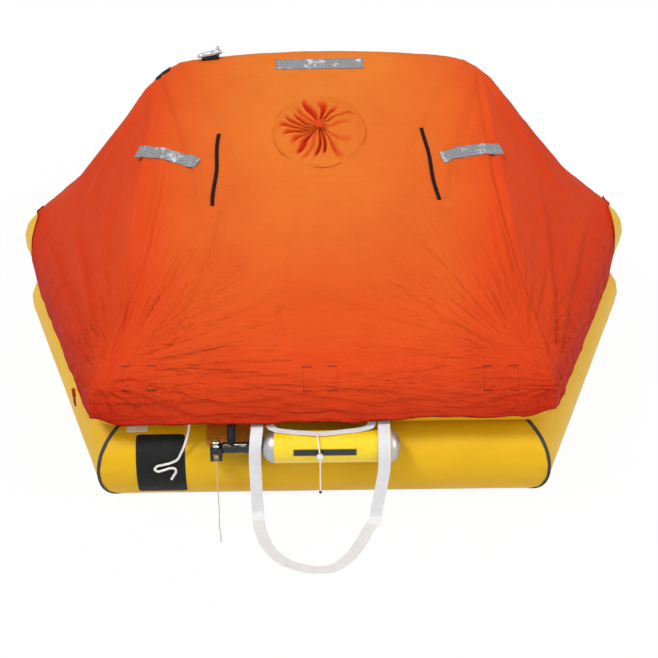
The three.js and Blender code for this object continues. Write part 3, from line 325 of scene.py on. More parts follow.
ALUMINIUM = solid_material("satin_aluminium", linear(188, 189, 192), 0.38, 0.85, grain=420.0, depth=0.0001)
CHROME = solid_material("bright_chrome", linear(214, 216, 220), 0.12, 1.0, grain=90.0, depth=0.00005)
BRASS = solid_material("aged_brass", linear(150, 128, 84), 0.35, 0.85, linear(96, 92, 66))
PINK = solid_material("dull_pink_block", linear(196, 150, 140), 0.5)
CLEAR = solid_material("frosted_clear_plastic", linear(226, 232, 236), 0.12, grain=120.0,
                       Transmission_Weight=0.6)
WHITE_PLASTIC = solid_material("white_plastic", linear(232, 230, 226), 0.4)
# partly a real backing patch, partly painted shade: its darker orange-brown stands for the skirt's shadow with orange
# from the canopy
PAINTED_SHADE_ORANGE_PATCH = solid_material("orange_patch_with_painted_shade", linear(214, 128, 22), 0.6, 0.0,
                              linear(160, 84, 22), 90.0)
RED_STEEL = solid_material("dark_red_steel", linear(140, 30, 44), 0.22, 0.6, linear(92, 14, 26))
FILM = reflective_material()
TWILL = twill_material()
SLEEVE = sleeve_material()
THREAD = solid_material("dark_thread", linear(64, 12, 10), 0.8)


# Meshes

def add_mesh(name, points, faces, material, body=BODY, replaces=()):
    """A mesh object from points in millimetres."""
    mesh = bpy.data.meshes.new(name)
    mesh.from_pydata([tuple(float(c) / 1000 for c in p) for p in points], [], [tuple(f) for f in faces])
    mesh.validate()
    for face in mesh.polygons:
        face.use_smooth = True
    mesh.materials.append(material)
    obj = bpy.data.objects.new(name, mesh)
    bpy.context.scene.collection.objects.link(obj)
    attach(obj, body)
    if replaces:
        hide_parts(*replaces)
    return obj


def grid_faces(rows, columns, close_rows=False, close_columns=False):
    faces = []
    for r in range(rows if close_rows else rows - 1):
        for c in range(columns if close_columns else columns - 1):
            r2, c2 = (r + 1) % rows, (c + 1) % columns
            faces.append((r * columns + c, r * columns + c2, r2 * columns + c2, r2 * columns + c))
    return faces


def tube_faces(rings, size):
    """The faces of a tube of closed rings, with its two ends."""
    faces = grid_faces(rings, size, close_columns=True)
    return faces + [tuple(range(size))[::-1], tuple(range((rings - 1) * size, rings * size))]


def paint(obj, name, values):
    """A value for each vertex, which the piece's material reads."""
    layer = obj.data.attributes.new(name, "FLOAT", "POINT")
    layer.data.foreach_set("value", np.asarray(values, np.float32))


def flat_list(grid):
    return [p for row in grid for p in row]


def orient(obj):
    """Turn all faces outward."""
    bm = bmesh.new()
    bm.from_mesh(obj.data)
    bmesh.ops.recalc_face_normals(bm, faces=bm.faces)
    bm.to_mesh(obj.data)
    bm.free()
    return obj


def bevel(obj, width, segments=3, angle=35.0):
    """Rounded edges, applied to the mesh."""
    mod = obj.modifiers.new("bevel", "BEVEL")
    mod.width, mod.segments = width, segments
    mod.limit_method, mod.angle_limit = "ANGLE", math.radians(angle)
    apply_modifiers(obj)
    return obj


def apply_modifiers(obj):
    deps = bpy.context.evaluated_depsgraph_get()
    mesh = bpy.data.meshes.new_from_object(obj.evaluated_get(deps))
    old = obj.data
    obj.modifiers.clear()
    obj.data = mesh
    bpy.data.meshes.remove(old)


def smooth_path(points, count):
    """Points a regular distance apart on a smooth curve through the given ones."""
    p = np.array(points, float)
    ends = np.vstack([2 * p[0] - p[1], p, 2 * p[-1] - p[-2]])
    knots = np.concatenate([[0], np.cumsum(np.sqrt(np.linalg.norm(np.diff(ends, axis=0), axis=1)) + 1e-9)])
    dense = []
    for i in range(1, len(ends) - 2):
        t0, t1, t2, t3 = knots[i - 1:i + 3]
        p0, p1, p2, p3 = ends[i - 1:i + 3]
        for k in range(24):
            t = t1 + (t2 - t1) * k / 24
            a1 = (t1 - t) / (t1 - t0) * p0 + (t - t0) / (t1 - t0) * p1
            a2 = (t2 - t) / (t2 - t1) * p1 + (t - t1) / (t2 - t1) * p2
            a3 = (t3 - t) / (t3 - t2) * p2 + (t - t2) / (t3 - t2) * p3
            b1 = (t2 - t) / (t2 - t0) * a1 + (t - t0) / (t2 - t0) * a2
            b2 = (t3 - t) / (t3 - t1) * a2 + (t - t1) / (t3 - t1) * a3
            dense.append((t2 - t) / (t2 - t1) * b1 + (t - t1) / (t2 - t1) * b2)
    dense.append(p[-1])
    dense = np.array(dense)
    run = np.concatenate([[0], np.cumsum(np.linalg.norm(np.diff(dense, axis=0), axis=1))])
    at = np.linspace(0, run[-1], count)
    return np.stack([np.interp(at, run, dense[:, k]) for k in range(dense.shape[1])], axis=-1), run[-1]


def tangents(path):
    t = np.gradient(path, axis=0)
    return t / np.linalg.norm(t, axis=1)[:, None]


def cord_mesh(name, route, radius, count, material, node, sides=10, body=BODY, **facts):
    """A round cord that stands for its plain solid."""
    path, length = smooth_path(route, count)
    along = tangents(path)
    side = np.cross(along[0], (0.3, 0.2, 0.9))
    side /= np.linalg.norm(side)
    points = []
    for i, (centre, t) in enumerate(zip(path, along)):
        side = side - t * (side @ t)
        side /= np.linalg.norm(side)
        other = np.cross(t, side)
        for k in range(sides):
            a = 2 * math.pi * k / sides
            r = radius * (1 + facts.get("lay_depth", 0.0) * math.cos(3 * (a - i * 0.55)))
            points.append(centre + side * (r * math.cos(a)) + other * (r * math.sin(a)))
    faces = tube_faces(len(path), sides)
    obj = orient(add_mesh(name, points, faces, material, body, (node,)))


def webbing_mesh(name, route, width, thick, count, material, node):
    """Flat webbing with rounded selvedges and a shallow groove along each edge."""
    full, length = smooth_path([p[:3] for p in route], count)
    marks, _ = smooth_path([p[:3] for p in route], 2000)
    nearest = [int(np.argmin(np.linalg.norm(marks - np.array(p[:3]), axis=1))) / 1999 for p in route]
    bearings = np.interp(np.linspace(0, 1, count), nearest, [p[3] for p in route])
    along = tangents(full)
    across_steps = [-1, -0.97, -0.86, -0.7, -0.5, -0.25, 0, 0.25, 0.5, 0.7, 0.86, 0.97, 1]
    ring = []
    for u in across_steps:
        edge = 0.35 if abs(u) == 1 else (0.8 if abs(u) == 0.97 else 1.0)
        ring.append((u, edge))
    for u in reversed(across_steps):
        edge = 0.35 if abs(u) == 1 else (0.8 if abs(u) == 0.97 else 1.0)
        ring.append((u, -edge))
    points = []
    for i, (centre, t, bearing) in enumerate(zip(full, along, bearings)):
        b = math.radians(bearing)
        across = np.array([math.cos(b), math.sin(b), 0.0])
        across -= t * (across @ t)
        across /= np.linalg.norm(across)
        face = np.cross(across, t)
        wobble = 0.25 * noise.noise(Vector((i * 0.21, width, 3.1)))
        for u, v in ring:
            dip = -0.3 if abs(abs(u) - 0.7) < 0.01 else 0.0
            h = v * (thick / 2 + dip * 0.35) + wobble * abs(u)
            points.append(centre + across * (u * width / 2) + face * h)
    size = len(ring)
    faces = tube_faces(count, size)
    obj = orient(add_mesh(name, points, faces, material, BODY, (node,)))


def front_point(x, bearing, radius, centre):
    """A point before the straight front tube, at a bearing in degrees above its equator."""
    b = math.radians(bearing)
    return [x, -1156 - radius * math.cos(b), centre + radius * math.sin(b)]


# Cords and straps, on the routes of the solid model

STRAP_SEAT = 140 + 1.2 + 2 + 0.15
REST = 1.5
STRAP_ROUTE = [
    front_point(-214, -36, STRAP_SEAT, Z_UP) + [0],
    [-216, -1303, 313, 0], [-219, -1331, 292, 0], [-222, -1343, 262, 0], [-224, -1345, 200, 0],
    [-223, -1346, 120, 0], [-222, -1347, 50, 0], [-221, -1351, 16, 0], [-219, -1366, 3, 0],
    [-215, -1400, REST, 5], [-203, -1460, REST, 13], [-180, -1528, REST, 25], [-145, -1584, REST, 41],
    [-95, -1626, REST, 61], [-30, -1648, REST, 86], [22, -1642, REST, 109], [66, -1604, REST, 135],
    [98, -1552, REST, 151], [126, -1484, REST, 158], [148, -1424, REST, 161], [162, -1396, 4, 167],
    [170, -1382, 18, 174], [176, -1378, 60, 180], [188, -1377, 130, 180], [198, -1376.5, 200, 180],
    [199, -1376, 250, 180], [199, -1366, 284, 180], [199, -1338, 307, 180], [199, -1304, 317, 180],
    front_point(199, -36, STRAP_SEAT, Z_UP) + [180],
]
RUNG_SEAT = 140 + 1.2 + 1.6 + 0.9
RUNG_ROUTE = [
    front_point(-176, -36, RUNG_SEAT, Z_UP) + [0],
    [-174, -1288, 318, 8], [-156, -1303, 311.5, 50], [-110, -1314, 308.8, 76], [-60, -1322, 308.6, 81],
    [-19, -1328, 308.6, 90], [20, -1325, 308.6, 98], [70, -1316, 308.6, 102], [128, -1305, 310.5, 118],
    [157, -1292, 316.5, 172],
    front_point(160, -36, RUNG_SEAT, Z_UP) + [180],
]
TIE_ROUTE = [
    [-19, -1328, 312.6], [-18.5, -1343, 312.6], [-17, -1357, 308], [-15, -1371, 294], [-12, -1380, 276],
    [-10, -1384, 255], [-10, -1383, 236], [-10.5, -1381, 190], [-11, -1380, 150], [-11, -1380, 122],
]
CABLE_ROUTE = [
    [-350.8, -1341.8, 217.5], [-350.8, -1344, 150], [-350, -1346, 70], [-350, -1347, 30],
    [-349.7, -1351, 13], [-349.4, -1359, 4.8], [-349, -1373, 2.6], [-346, -1410, 2.4],
    [-340, -1450, 2.4], [-336.5, -1484, 2.4],
]
LINE_ROUTE = [
    front_point(-438, -36, 140 + 4 + 1.2 - 0.3, Z_UP),
    [-444, -1280, 292], [-456, -1286, 250], [-470, -1290, 218], [-484, -1294, 194], [-506, -1297, 183],
    [-532, -1299, 177], [-552, -1300, 172], [-560, -1302, 162], [-550, -1304, 155], [-530, -1304, 160],
    [-508, -1305, 168], [-493, -1305, 166], [-490, -1304, 153], [-498, -1303, 138], [-507, -1302, 122],
]

webbing_mesh("boarding_strap_webbing", STRAP_ROUTE, 40, 2, 220, WHITE_WEB, "boarding_strap")
webbing_mesh("ladder_strap_webbing", RUNG_ROUTE, 26, 1.6, 90, WHITE_WEB, "ladder_top_strap")
cord_mesh(
    "tie_cord_line", TIE_ROUTE, 2.5, 90, WHITE_CORD, "tie_cord", far_end="fitting", lay="hanging",
    slot="white_webbing", lay_depth=0.07, with_pieces=("tie_toggle", "tie_bead"))
cord_mesh(
    "firing_cable_line", CABLE_ROUTE, 1.7, 110, CABLE, "firing_cable", far_end="fitting", lay="hanging",
    stiffness="medium", slot="cable_sheath", body="firing_pin_body", with_pieces=("cable_ball",))
cord_mesh(
    "white_line_rope", LINE_ROUTE, 4, 150, WHITE_CORD, "white_line", far_end="bare", lay="hanging",
    slot="white_webbing", lay_depth=0.1)


# Tubes

def edge_direction(i):
    a, b = np.array(CORNERS[i % 6], float), np.array(CORNERS[(i + 1) % 6], float)
    return (b - a) / np.linalg.norm(b - a)


def outward_of(d):
    return np.array([d[1], -d[0]])


def mitre(i):
    a, b = outward_of(edge_direction(i - 1)), outward_of(edge_direction(i))
    out = (a + b) / np.linalg.norm(a + b)
    return out, 1 / (out @ b)


def slant(i):
    """How far a mitre runs along an edge for each step outward."""
    stretch = mitre(i)[1]
    return math.sqrt(max(0.0, stretch ** 2 - 1))


def ring_tube(name, centre_z, top, bottom, node):
    """Hexagonal inflated ring; the seams at its corners pucker a little."""
    around = 96
    stations = []
    for i in range(6):
        start, end = np.array(CORNERS[i], float), np.array(CORNERS[(i + 1) % 6], float)
        length = np.linalg.norm(end - start)
        out = outward_of(edge_direction(i))
        sizes = [0, 3, 8, 16, 28, 45, 70, 105, 150, 210, 280, 360]
        share = [s / length for s in sizes] + [0.42, 0.5, 0.58] + [1 - s / length for s in reversed(sizes)]
        for t in share[:-1]:
            stations.append((i, start + (end - start) * t, out, t * length, length))
    points = []
    for i, base, out, run, length in stations:
        near = min(run, length - run)
        along = edge_direction(i)
        share = run / length
        for k in range(around):
            a = 2 * math.pi * k / around
            c, s = math.cos(a), math.sin(a)
            u, w = TUBE * c, min(max(TUBE * s, bottom), top)
            # the outer side runs on to the mitre at each end, the inner side stops short of it
            shift = u * (slant(i + 1) * share - slant(i) * (1 - share))
            x = base + out * u + along * shift
            pucker = 0.0
            if near < 120:
                fade = math.exp(-(near / 55) ** 2) * max(0.0, c)
                pucker = 1.1 * fade * math.sin(a * 17 + i)
            sink = -0.9 * math.exp(-(near / 9) ** 2)
            soft = 0.5 * noise.noise(Vector((x[0] / 260, x[1] / 260, w / 120 + centre_z)))
            r = pucker + sink + soft - 0.5
            points.append((x[0] + out[0] * c * r, x[1] + out[1] * c * r, centre_z + w + s * r))
    faces = grid_faces(len(stations), around, close_rows=True, close_columns=True)
    return orient(add_mesh(name, points, faces, YELLOW, BODY, (node,)))


def arch_centre():
    ridge_z = CROWN - RISE
    slope = math.atan2(2 * RISE, HALF_RIDGE)
    shoulder_z = ridge_z - (SHOULDER_X - HALF_RIDGE) * math.tan(slope)
    leg_x = SHOULDER_X + SHOULDER_RUN * math.cos(LEG)
    leg_z = shoulder_z - SHOULDER_RUN * math.sin(LEG)
    start_x = SHOULDER_X - SHOULDER_RUN * math.cos(slope)
    start_z = shoulder_z + SHOULDER_RUN * math.sin(slope)
    crown_z = start_z + start_x * math.tan(slope)

    def foot(z):
        return np.array([-(leg_x + (leg_z - z) / math.tan(LEG)), z])
    return {
        "foot": foot, "leg_end": np.array([-leg_x, leg_z]), "shoulder": np.array([-SHOULDER_X, shoulder_z]),
        "start": np.array([-start_x, start_z]), "crown": np.array([0, crown_z]),
    }


ARC = arch_centre()


def bezier(a, b, c, t):
    p = a * (1 - t) ** 2 + b * 2 * t * (1 - t) + c * t * t
    d = (b - a) * 2 * (1 - t) + (c - b) * 2 * t
    return p, d / np.linalg.norm(d)


ring_tube("lower_tube_skin", Z_LOW, Z_TOUCH - 0.15 - Z_LOW, -(Z_LOW - 4.3), "lower_buoyancy_tube")
ring_tube("upper_tube_skin", Z_UP, 140, -(Z_UP - Z_TOUCH - 0.15), "upper_buoyancy_tube")


# Canopy

def smooth(t):
    t = min(max(t, 0.0), 1.0)
    return t * t * (3 - 2 * t)


def canopy_stations():
    middle, corner = np.array(CORNERS[5], float), np.array(CORNERS[0], float)
    side_out, front_out = outward_of(edge_direction(5)), outward_of(edge_direction(0))
    turn = math.acos(side_out @ front_out)
    length = np.linalg.norm(corner - middle)
    foot = ARC["foot"](Z_UP + 98)
    leg_normal = np.array([-math.sin(LEG), math.cos(LEG)])
    left = []
    legs = 64
    for i in range(legs):
        t = (i / legs) ** 1.15
        bend = mitre(5)
        left.append(dict(c=foot + (ARC["leg_end"] - foot) * t, n=leg_normal, rim=middle + (corner - middle) * t,
                         out=bend[0] if i == 0 else side_out, k=bend[1] if i == 0 else 1.0, side=side_out,
                         front=front_out, share=0.0, run=t * length, turn=-9.0))
    arcs = 44
    for i in range(arcs + 1):
        t = i / arcs
        p, d = bezier(ARC["leg_end"], ARC["shoulder"], ARC["start"], t)
        angle = t * turn
        ca, sa = math.cos(angle), math.sin(angle)
        out = np.array([side_out[0] * ca - side_out[1] * sa, side_out[0] * sa + side_out[1] * ca])
        left.append(dict(c=p, n=np.array([-d[1], d[0]]), rim=corner, out=out,
                         k=1 / math.cos(min(angle, turn - angle)), side=side_out, front=front_out,
                         share=min(1.0, 2 * t), run=length, turn=t))
    ridge = []
    spans = 110
    for i in range(1, spans):
        t = i / spans
        p, d = bezier(ARC["start"], ARC["crown"], ARC["start"] * np.array([-1, 1]), t)
        rim = np.array([-651 + 1302 * t, -1156.0])
        ridge.append(dict(c=p, n=np.array([-d[1], d[0]]), rim=rim, out=front_out, k=1.0, side=side_out,
                          front=front_out, share=1.0, run=length, turn=9.0))
    flip = np.array([-1, 1])
    right = [dict(s, c=s["c"] * flip, n=s["n"] * flip, rim=s["rim"] * flip, out=s["out"] * flip,
                  side=s["side"] * flip) for s in reversed(left)]
    return left + ridge + right


def canopy_line(st, lift):
    """One line of fabric from the ridge to the hem, with the stretch of it that each point is on."""
    ra, rt = ARCH + 2 + lift, TUBE + 2 + lift
    centre = np.array([st["c"][0], 0.0, st["c"][1]])
    normal = np.array([st["n"][0], 0.0, st["n"][1]])
    hub = np.array([st["rim"][0], st["rim"][1], Z_UP])
    out = np.array([st["out"][0], st["out"][1], 0.0])
    up = np.array([0, 0, 1.0])

    def on_arch(a):
        return centre + normal * (ra * math.cos(a)) + np.array([0, -ra * math.sin(a), 0])

    def on_tube(a):
        return hub + out * (rt * st["k"] * math.sin(a)) + up * (rt * math.cos(a))

    def touch(p, facing):
        w = p - hub
        across = w[0] * facing[0] + w[1] * facing[1]
        return math.atan2(across, w[2]) + math.acos(min(1, rt / math.hypot(across, w[2])))
    leave = meet = 0.5
    for _ in range(12):
        w = on_tube(meet) - centre
        reach = math.hypot(w @ normal, -w[1])
        leave = max(0, math.atan2(-w[1], w @ normal) - math.acos(min(1, ra / reach)))
        p = on_arch(leave)
        meet = touch(p, st["side"]) * (1 - st["share"]) + touch(p, st["front"]) * st["share"]
    hem = HEM + (HEM_MIDDLE - HEM) * (1 - smooth(st["run"] / HEM_RISE))
    hem_angle = math.acos(min(1, max(0, (hem - Z_UP) / rt)))
    end = max(hem_angle, meet + math.radians(4))
    line = [(on_arch(leave * i / 6), i / 6 * 0.1) for i in range(6)]
    a, b = on_arch(leave), on_tube(meet)
    for i in range(58):
        line.append((a + (b - a) * i / 58, 0.1 + 0.6 * i / 58))
    for i in range(23):
        line.append((on_tube(meet + (end - meet) * i / 22), 0.7 + 0.2 * i / 22))
    hang = end >= math.pi / 2 - 1e-6
    drop = max(Z_UP - hem, 3) if hang else 3
    fall = -up if hang else out * math.cos(end) - up * math.sin(end)
    for i in range(1, 9):
        line.append((line[-1][0] + fall * drop / 8, 0.9 + 0.1 * i / 8))
    return line


stations = canopy_stations()
grid = [canopy_line(st, 1.6) for st in stations]
P = np.array([[p for p, _ in line] for line in grid])
V = np.array([[v for _, v in line] for line in grid])
P[:, :, 1] = np.minimum(P[:, :, 1], 0.0)
for end in (0, -1):
    P[end, :6] = P[end, 0]
    P[end, 6:65] = P[end, 0] + (P[end, 64] - P[end, 0]) * np.linspace(0, 1, 59)[:, None]
    P[end, :, 1] = 0.0
columns, rows = P.shape[:2]


def grid_normals(points):
    du = np.gradient(points, axis=0)
    dv = np.gradient(points, axis=1)
    n = np.cross(dv, du)
    n /= np.maximum(np.linalg.norm(n, axis=2), 1e-9)[:, :, None]
    return n


NORMAL = grid_normals(P)
if NORMAL[columns // 2, 30, 2] < 0:
    NORMAL = -NORMAL

# Folds as lines over the picture: points, half width and height in millimetres
FOLDS = [
    # fan from the left corner up the side and the slope
    ([(101, 376), (88, 300), (74, 232), (62, 206)], 13, 7),
    ([(101, 376), (100, 300), (104, 220), (120, 150)], 12, 6),
    ([(101, 376), (76, 320), (54, 262), (42, 226)], 12, 6),
    ([(101, 376), (118, 330), (140, 270), (158, 190), (166, 120)], 12, 6),
    ([(101, 376), (126, 345), (160, 300), (186, 240)], 10, 5),
    ([(104, 378), (140, 352), (190, 322), (236, 300)], 10, 5),
    ([(104, 382), (150, 374), (210, 366), (262, 362)], 9, 4),
    ([(104, 384), (140, 392), (176, 406), (204, 420)], 9, 7),
    ([(103, 386), (128, 400), (150, 414), (164, 424)], 8, 6),
    ([(102, 388), (112, 404), (122, 424)], 7, 6),
    ([(99, 386), (97, 404), (100, 424)], 7, 5),
    ([(98, 380), (84, 384), (72, 380)], 7, 5),
    ([(98, 374), (80, 352), (62, 338)], 8, 5),
    ([(118, 372), (152, 384), (196, 396), (240, 404)], 8, 5),
    # fan from the right corner
    ([(553, 374), (566, 300), (580, 236), (592, 204)], 13, 7),
    ([(553, 374), (552, 300), (546, 220), (532, 150)], 12, 6),
    ([(553, 374), (580, 320), (600, 262), (612, 226)], 12, 6),
    ([(553, 374), (536, 326), (514, 262), (492, 180), (480, 118)], 12, 6),
    ([(551, 376), (520, 340), (486, 300), (462, 250)], 10, 5),
    ([(550, 378), (508, 352), (462, 330), (420, 312)], 10, 5),
    ([(549, 381), (500, 372), (444, 366), (396, 362)], 9, 4),
    ([(549, 385), (514, 392), (478, 402), (446, 414)], 9, 6),
    ([(550, 387), (526, 400), (506, 412), (494, 420)], 8, 6),
    ([(552, 388), (544, 402), (536, 418)], 7, 5),
    ([(556, 384), (562, 396), (562, 404)], 7, 5),
    # from the shoulders
    ([(160, 68), (176, 110), (196, 170), (206, 240)], 12, 5),
    ([(158, 70), (150, 130), (134, 200), (118, 270)], 12, 5),
    ([(172, 62), (204, 92), (232, 140), (250, 200)], 11, 4),
    ([(158, 72), (128, 124), (98, 176), (76, 214)], 11, 5),
    ([(478, 66), (466, 110), (452, 170), (446, 240)], 12, 5),
    ([(480, 68), (492, 124), (508, 190), (524, 262)], 12, 5),
    ([(470, 60), (440, 92), (414, 140), (402, 200)], 11, 4),
    ([(482, 70), (514, 118), (548, 168), (580, 208)], 11, 5),
    # long soft creases over the slope
    ([(226, 196), (214, 250), (190, 310), (160, 372)], 14, 5),
    ([(300, 200), (292, 260), (280, 330), (276, 396)], 16, 3),
    ([(352, 206), (366, 270), (372, 330), (380, 392)], 16, 3),
    ([(416, 230), (430, 280), (458, 330), (488, 372)], 14, 4),
    ([(250, 300), (300, 318), (352, 312), (400, 320)], 14, 2.5),
    ([(196, 340), (250, 350), (300, 344), (340, 352)], 11, 2.5),
    ([(360, 346), (410, 340), (452, 350), (500, 344)], 11, 2.5),
]


def add_folds(where, folds, mm_per_px=3.45):
    total = np.zeros(where.shape[0])
    for points, width, height in folds:
        best = np.full(where.shape[0], 1e9)
        along = np.zeros(where.shape[0])
        signed = np.zeros(where.shape[0])
        pts = np.array(points, float)
        lengths = np.linalg.norm(np.diff(pts, axis=0), axis=1)
        before = 0.0
        for a, b, seg in zip(pts[:-1], pts[1:], lengths):
            d = b - a
            t = np.clip(((where - a) @ d) / (d @ d), 0, 1)
            near = where - (a + t[:, None] * d)
            dist = np.linalg.norm(near, axis=1)
            sign = np.sign(d[0] * near[:, 1] - d[1] * near[:, 0])
            better = dist < best
            best = np.where(better, dist, best)
            signed = np.where(better, sign, signed)
            along = np.where(better, (before + t * seg) / lengths.sum(), along)
            before += seg
        d = best * mm_per_px * signed
        fade = np.clip(np.minimum(along * 9, (1 - along) * 3.2), 0, 1)
        fade = fade * fade * (3 - 2 * fade)
        w = width * (0.6 + 0.5 * along)
        ridge = np.exp(-(d / w) ** 2)
        valley = 0.45 * np.exp(-((d - 1.7 * w) / (1.1 * w)) ** 2)
        total += height * fade * (ridge - valley)
    return total


def crumple(points, seed):
    out = np.zeros(len(points))
    for i, (x, y, z) in enumerate(points):
        a = noise.noise(Vector((x / 95, (y + z) / 240, seed)))
        b = noise.noise(Vector((x / 34, (y + z) / 70, seed + 9)))
        c = noise.noise(Vector((x / 300, (y - z) / 300, seed + 4)))
        ridge = (1 - abs(a) * 2.2)
        out[i] = 1.1 * ridge * max(0.0, c + 0.3) + 0.7 * b
    return out


def dressed_half(seed, strength=1.0):
    flat = P.reshape(-1, 3)
    v = V.reshape(-1)
    height = add_folds(to_picture(flat), FOLDS) * strength * 2.0
    height += crumple(flat, seed) * 2.4
    x, y = flat[:, 0], flat[:, 1]
    run = np.where(np.abs(x) < 651, x, np.sign(x) * (651 + (y + 1156) * 1.05))
    # short soft wrinkles that run round the tube
    low = np.clip((v - 0.6) / 0.1, 0, 1)
    drift = 26 * np.sin(run / 210 + seed) + 12 * np.sin(run / 66 + 1.3 * seed)
    level = np.where(v > 0.7, (v - 0.7) * 900, (v - 0.7) * 400) + drift
    patchy = np.array([noise.noise(Vector((a / 150, b / 60, seed + 2))) for a, b in zip(run, level)])
    near_middle = np.clip(1 - (np.abs(x) - 700) / 250, 0.2, 1)
    height += low * near_middle * 4.2 * np.sin(level / 8.5) * np.clip(patchy * 2.4 + 0.45, 0, 1)
    # the cloth sags between the arch and the tube, and never as far as either
    sag = np.zeros(P.shape[:2])
    floor = np.full(P.shape[:2], -0.9)
    steps = np.linalg.norm(P[:, 6:65] - P[:, 6:7], axis=2)
    span = steps[:, -1:]
    share = steps / span
    sag[:, 6:65] = -np.minimum(12.0, span * 0.013) * np.sin(np.pi * share) ** 1.3
    floor[:, 6:65] = -0.9 - 0.7 * np.minimum(steps ** 2 / 180, (span - steps) ** 2 / 280)
    sag, floor = sag.reshape(-1), floor.reshape(-1)
    ripples = 1.6 * np.sin(run / 31 + 2 * np.sin(run / 170 + seed)) + 1.1 * np.sin(run / 13 + seed)
    height += np.clip((v - 0.66) / 0.1, 0, 1) * (1.4 + ripples * 0.7)
    height = height * (0.25 + 0.75 * np.clip(v / 0.12, 0, 1)) + sag
    height = np.maximum(height, floor)
    height = np.where(v > 0.68, 8 * np.tanh(height / 8), height)
    moved = flat + NORMAL.reshape(-1, 3) * height[:, None]
    moved[:, 1] = np.minimum(moved[:, 1], 0.0)
    # the drawn-in hem waves, and it rides up round the corners
    hem = np.clip((v - 0.84) / 0.16, 0, 1)
    moved[:, 2] += hem * (2.6 * np.sin(run / 58 + seed) + 1.8 * np.sin(run / 23) + 6)
    turn = np.array([st["turn"] for st in stations])
    at_corner = np.repeat(np.exp(-((turn - 0.5) / 0.26) ** 2), rows)
    moved[:, 2] += 30 * np.clip((v - 0.8) / 0.2, 0, 1) ** 1.5 * at_corner
    moved[:, 2] += hem * 13 * np.clip((x - 60) / 300, 0, 1)
    from_end = np.minimum(np.arange(columns), columns - 1 - np.arange(columns))
    calm = np.repeat(np.clip(from_end / 9, 0, 1), rows)
    moved = flat + (moved - flat) * calm[:, None]
    seam = v <= 1e-6
    moved[seam] = flat[seam] + NORMAL.reshape(-1, 3)[seam] * 0.4
    moved[seam, 1] = 0.0
    return moved.reshape(P.shape)


front_half = dressed_half(2.0)
rear_half = dressed_half(17.0, 0.8)
rear_half[:, 0, :] = front_half[:, 0, :]
for end in (0, -1):
    rear_half[end] = front_half[end]


def painted_light_shade_of(p):
    """Painted light where the cloth is thin against the light, high in the middle; painted shade on the sides and
    deeper round the rim.
    """
    x, z = p[:, 0], p[:, 2]
    up = np.clip((z - 620) / 420, 0, 1)
    centre = np.exp(-(x / 420) ** 2)
    side = np.clip((np.abs(x) - 430) / 400, 0, 1)
    low = np.clip((560 - z) / 220, 0, 1)
    return np.clip(0.52 + 0.34 * up * centre + 0.14 * np.clip((z - 520) / 300, 0, 1) * (1 - side)
                   - 0.22 * side - 0.36 * low, 0, 1)


def make_canopy():
    hem_in = 9
    turned_front = np.concatenate([front_half, front_half[:, -1:, :]], axis=1)
    turned_rear = np.concatenate([rear_half, rear_half[:, -1:, :]], axis=1)
    for half in (turned_front, turned_rear):
        half[:, -1, :] += -NORMAL[:, -1, :] * 1.4 + np.array([0, 0, hem_in])
    total_rows = rows + 1
    points = [p for p in turned_front.reshape(-1, 3)]
    mirrored = turned_rear.copy()
    mirrored[:, :, 1] *= -1
    index = {}
    offset = len(points)
    extra = []
    for c in range(columns):
        for r in range(1, total_rows):
            index[(c, r)] = offset + len(extra)
            extra.append(mirrored[c, r])
        index[(c, 0)] = c * total_rows
    points += extra
    faces = []
    for c in range(columns - 1):
        for r in range(total_rows - 1):
            a = c * total_rows + r
            faces.append((a, a + total_rows, a + total_rows + 1, a + 1))
            faces.append((index[(c, r)], index[(c, r + 1)], index[(c + 1, r + 1)], index[(c + 1, r)]))
    obj = add_mesh("canopy_cloth", points, faces, CANOPY, BODY,
                   ("canopy_front", "canopy_rear"))
    bm = bmesh.new()
    bm.from_mesh(obj.data)
    bmesh.ops.remove_doubles(bm, verts=bm.verts, dist=0.0002)
    bmesh.ops.recalc_face_normals(bm, faces=bm.faces)
    bm.to_mesh(obj.data)
    bm.free()
    if sum(face.normal.z * face.area for face in obj.data.polygons) < 0:
        obj.data.flip_normals()
    # painted light and shade for the cloth, from where each point sits
    paint(obj, "painted_light_shade", painted_light_shade_of(np.array([tuple(vert.co * 1000) for vert in obj.data.vertices])))
    return obj


canopy = make_canopy()


# Pieces laid on the canopy

SLOPE = math.radians(27.5)
SLOPE_N = np.array([0, -math.sin(SLOPE), math.cos(SLOPE)])
SLOPE_D = np.array([0, -math.cos(SLOPE), -math.sin(SLOPE)])
SLOPE_TOP = np.array([0, 0, 1069.0]) + 95.0 * SLOPE_N
tree = BVHTree.FromPolygons([tuple(v.co) for v in canopy.data.vertices],
                            [tuple(p.vertices) for p in canopy.data.polygons])


def on_canopy(across, down, lift=0.0):
    start = SLOPE_TOP + SLOPE_D * down + SLOPE_N * 300
    start = start + np.array([across, 0, 0])
    hit, normal, _, _ = tree.ray_cast(Vector(start / 1000), Vector(-SLOPE_N))
    if hit is None:
        hit = Vector((start - SLOPE_N * 300) / 1000)
        normal = Vector(SLOPE_N)
    n = np.array(normal)
    if n @ SLOPE_N < 0:
        n = -n
    return np.array(hit) * 1000 + n * lift


def on_skirt(x, bearing, lift=0.0):
    start = np.array(front_point(x, bearing, 280, Z_UP))
    b = math.radians(bearing)
    hit, normal, _, _ = tree.ray_cast(Vector(start / 1000), Vector((0, math.cos(b), -math.sin(b))))
    n = np.array([0, -math.cos(b), math.sin(b)])
    return np.array(hit) * 1000 + n * lift


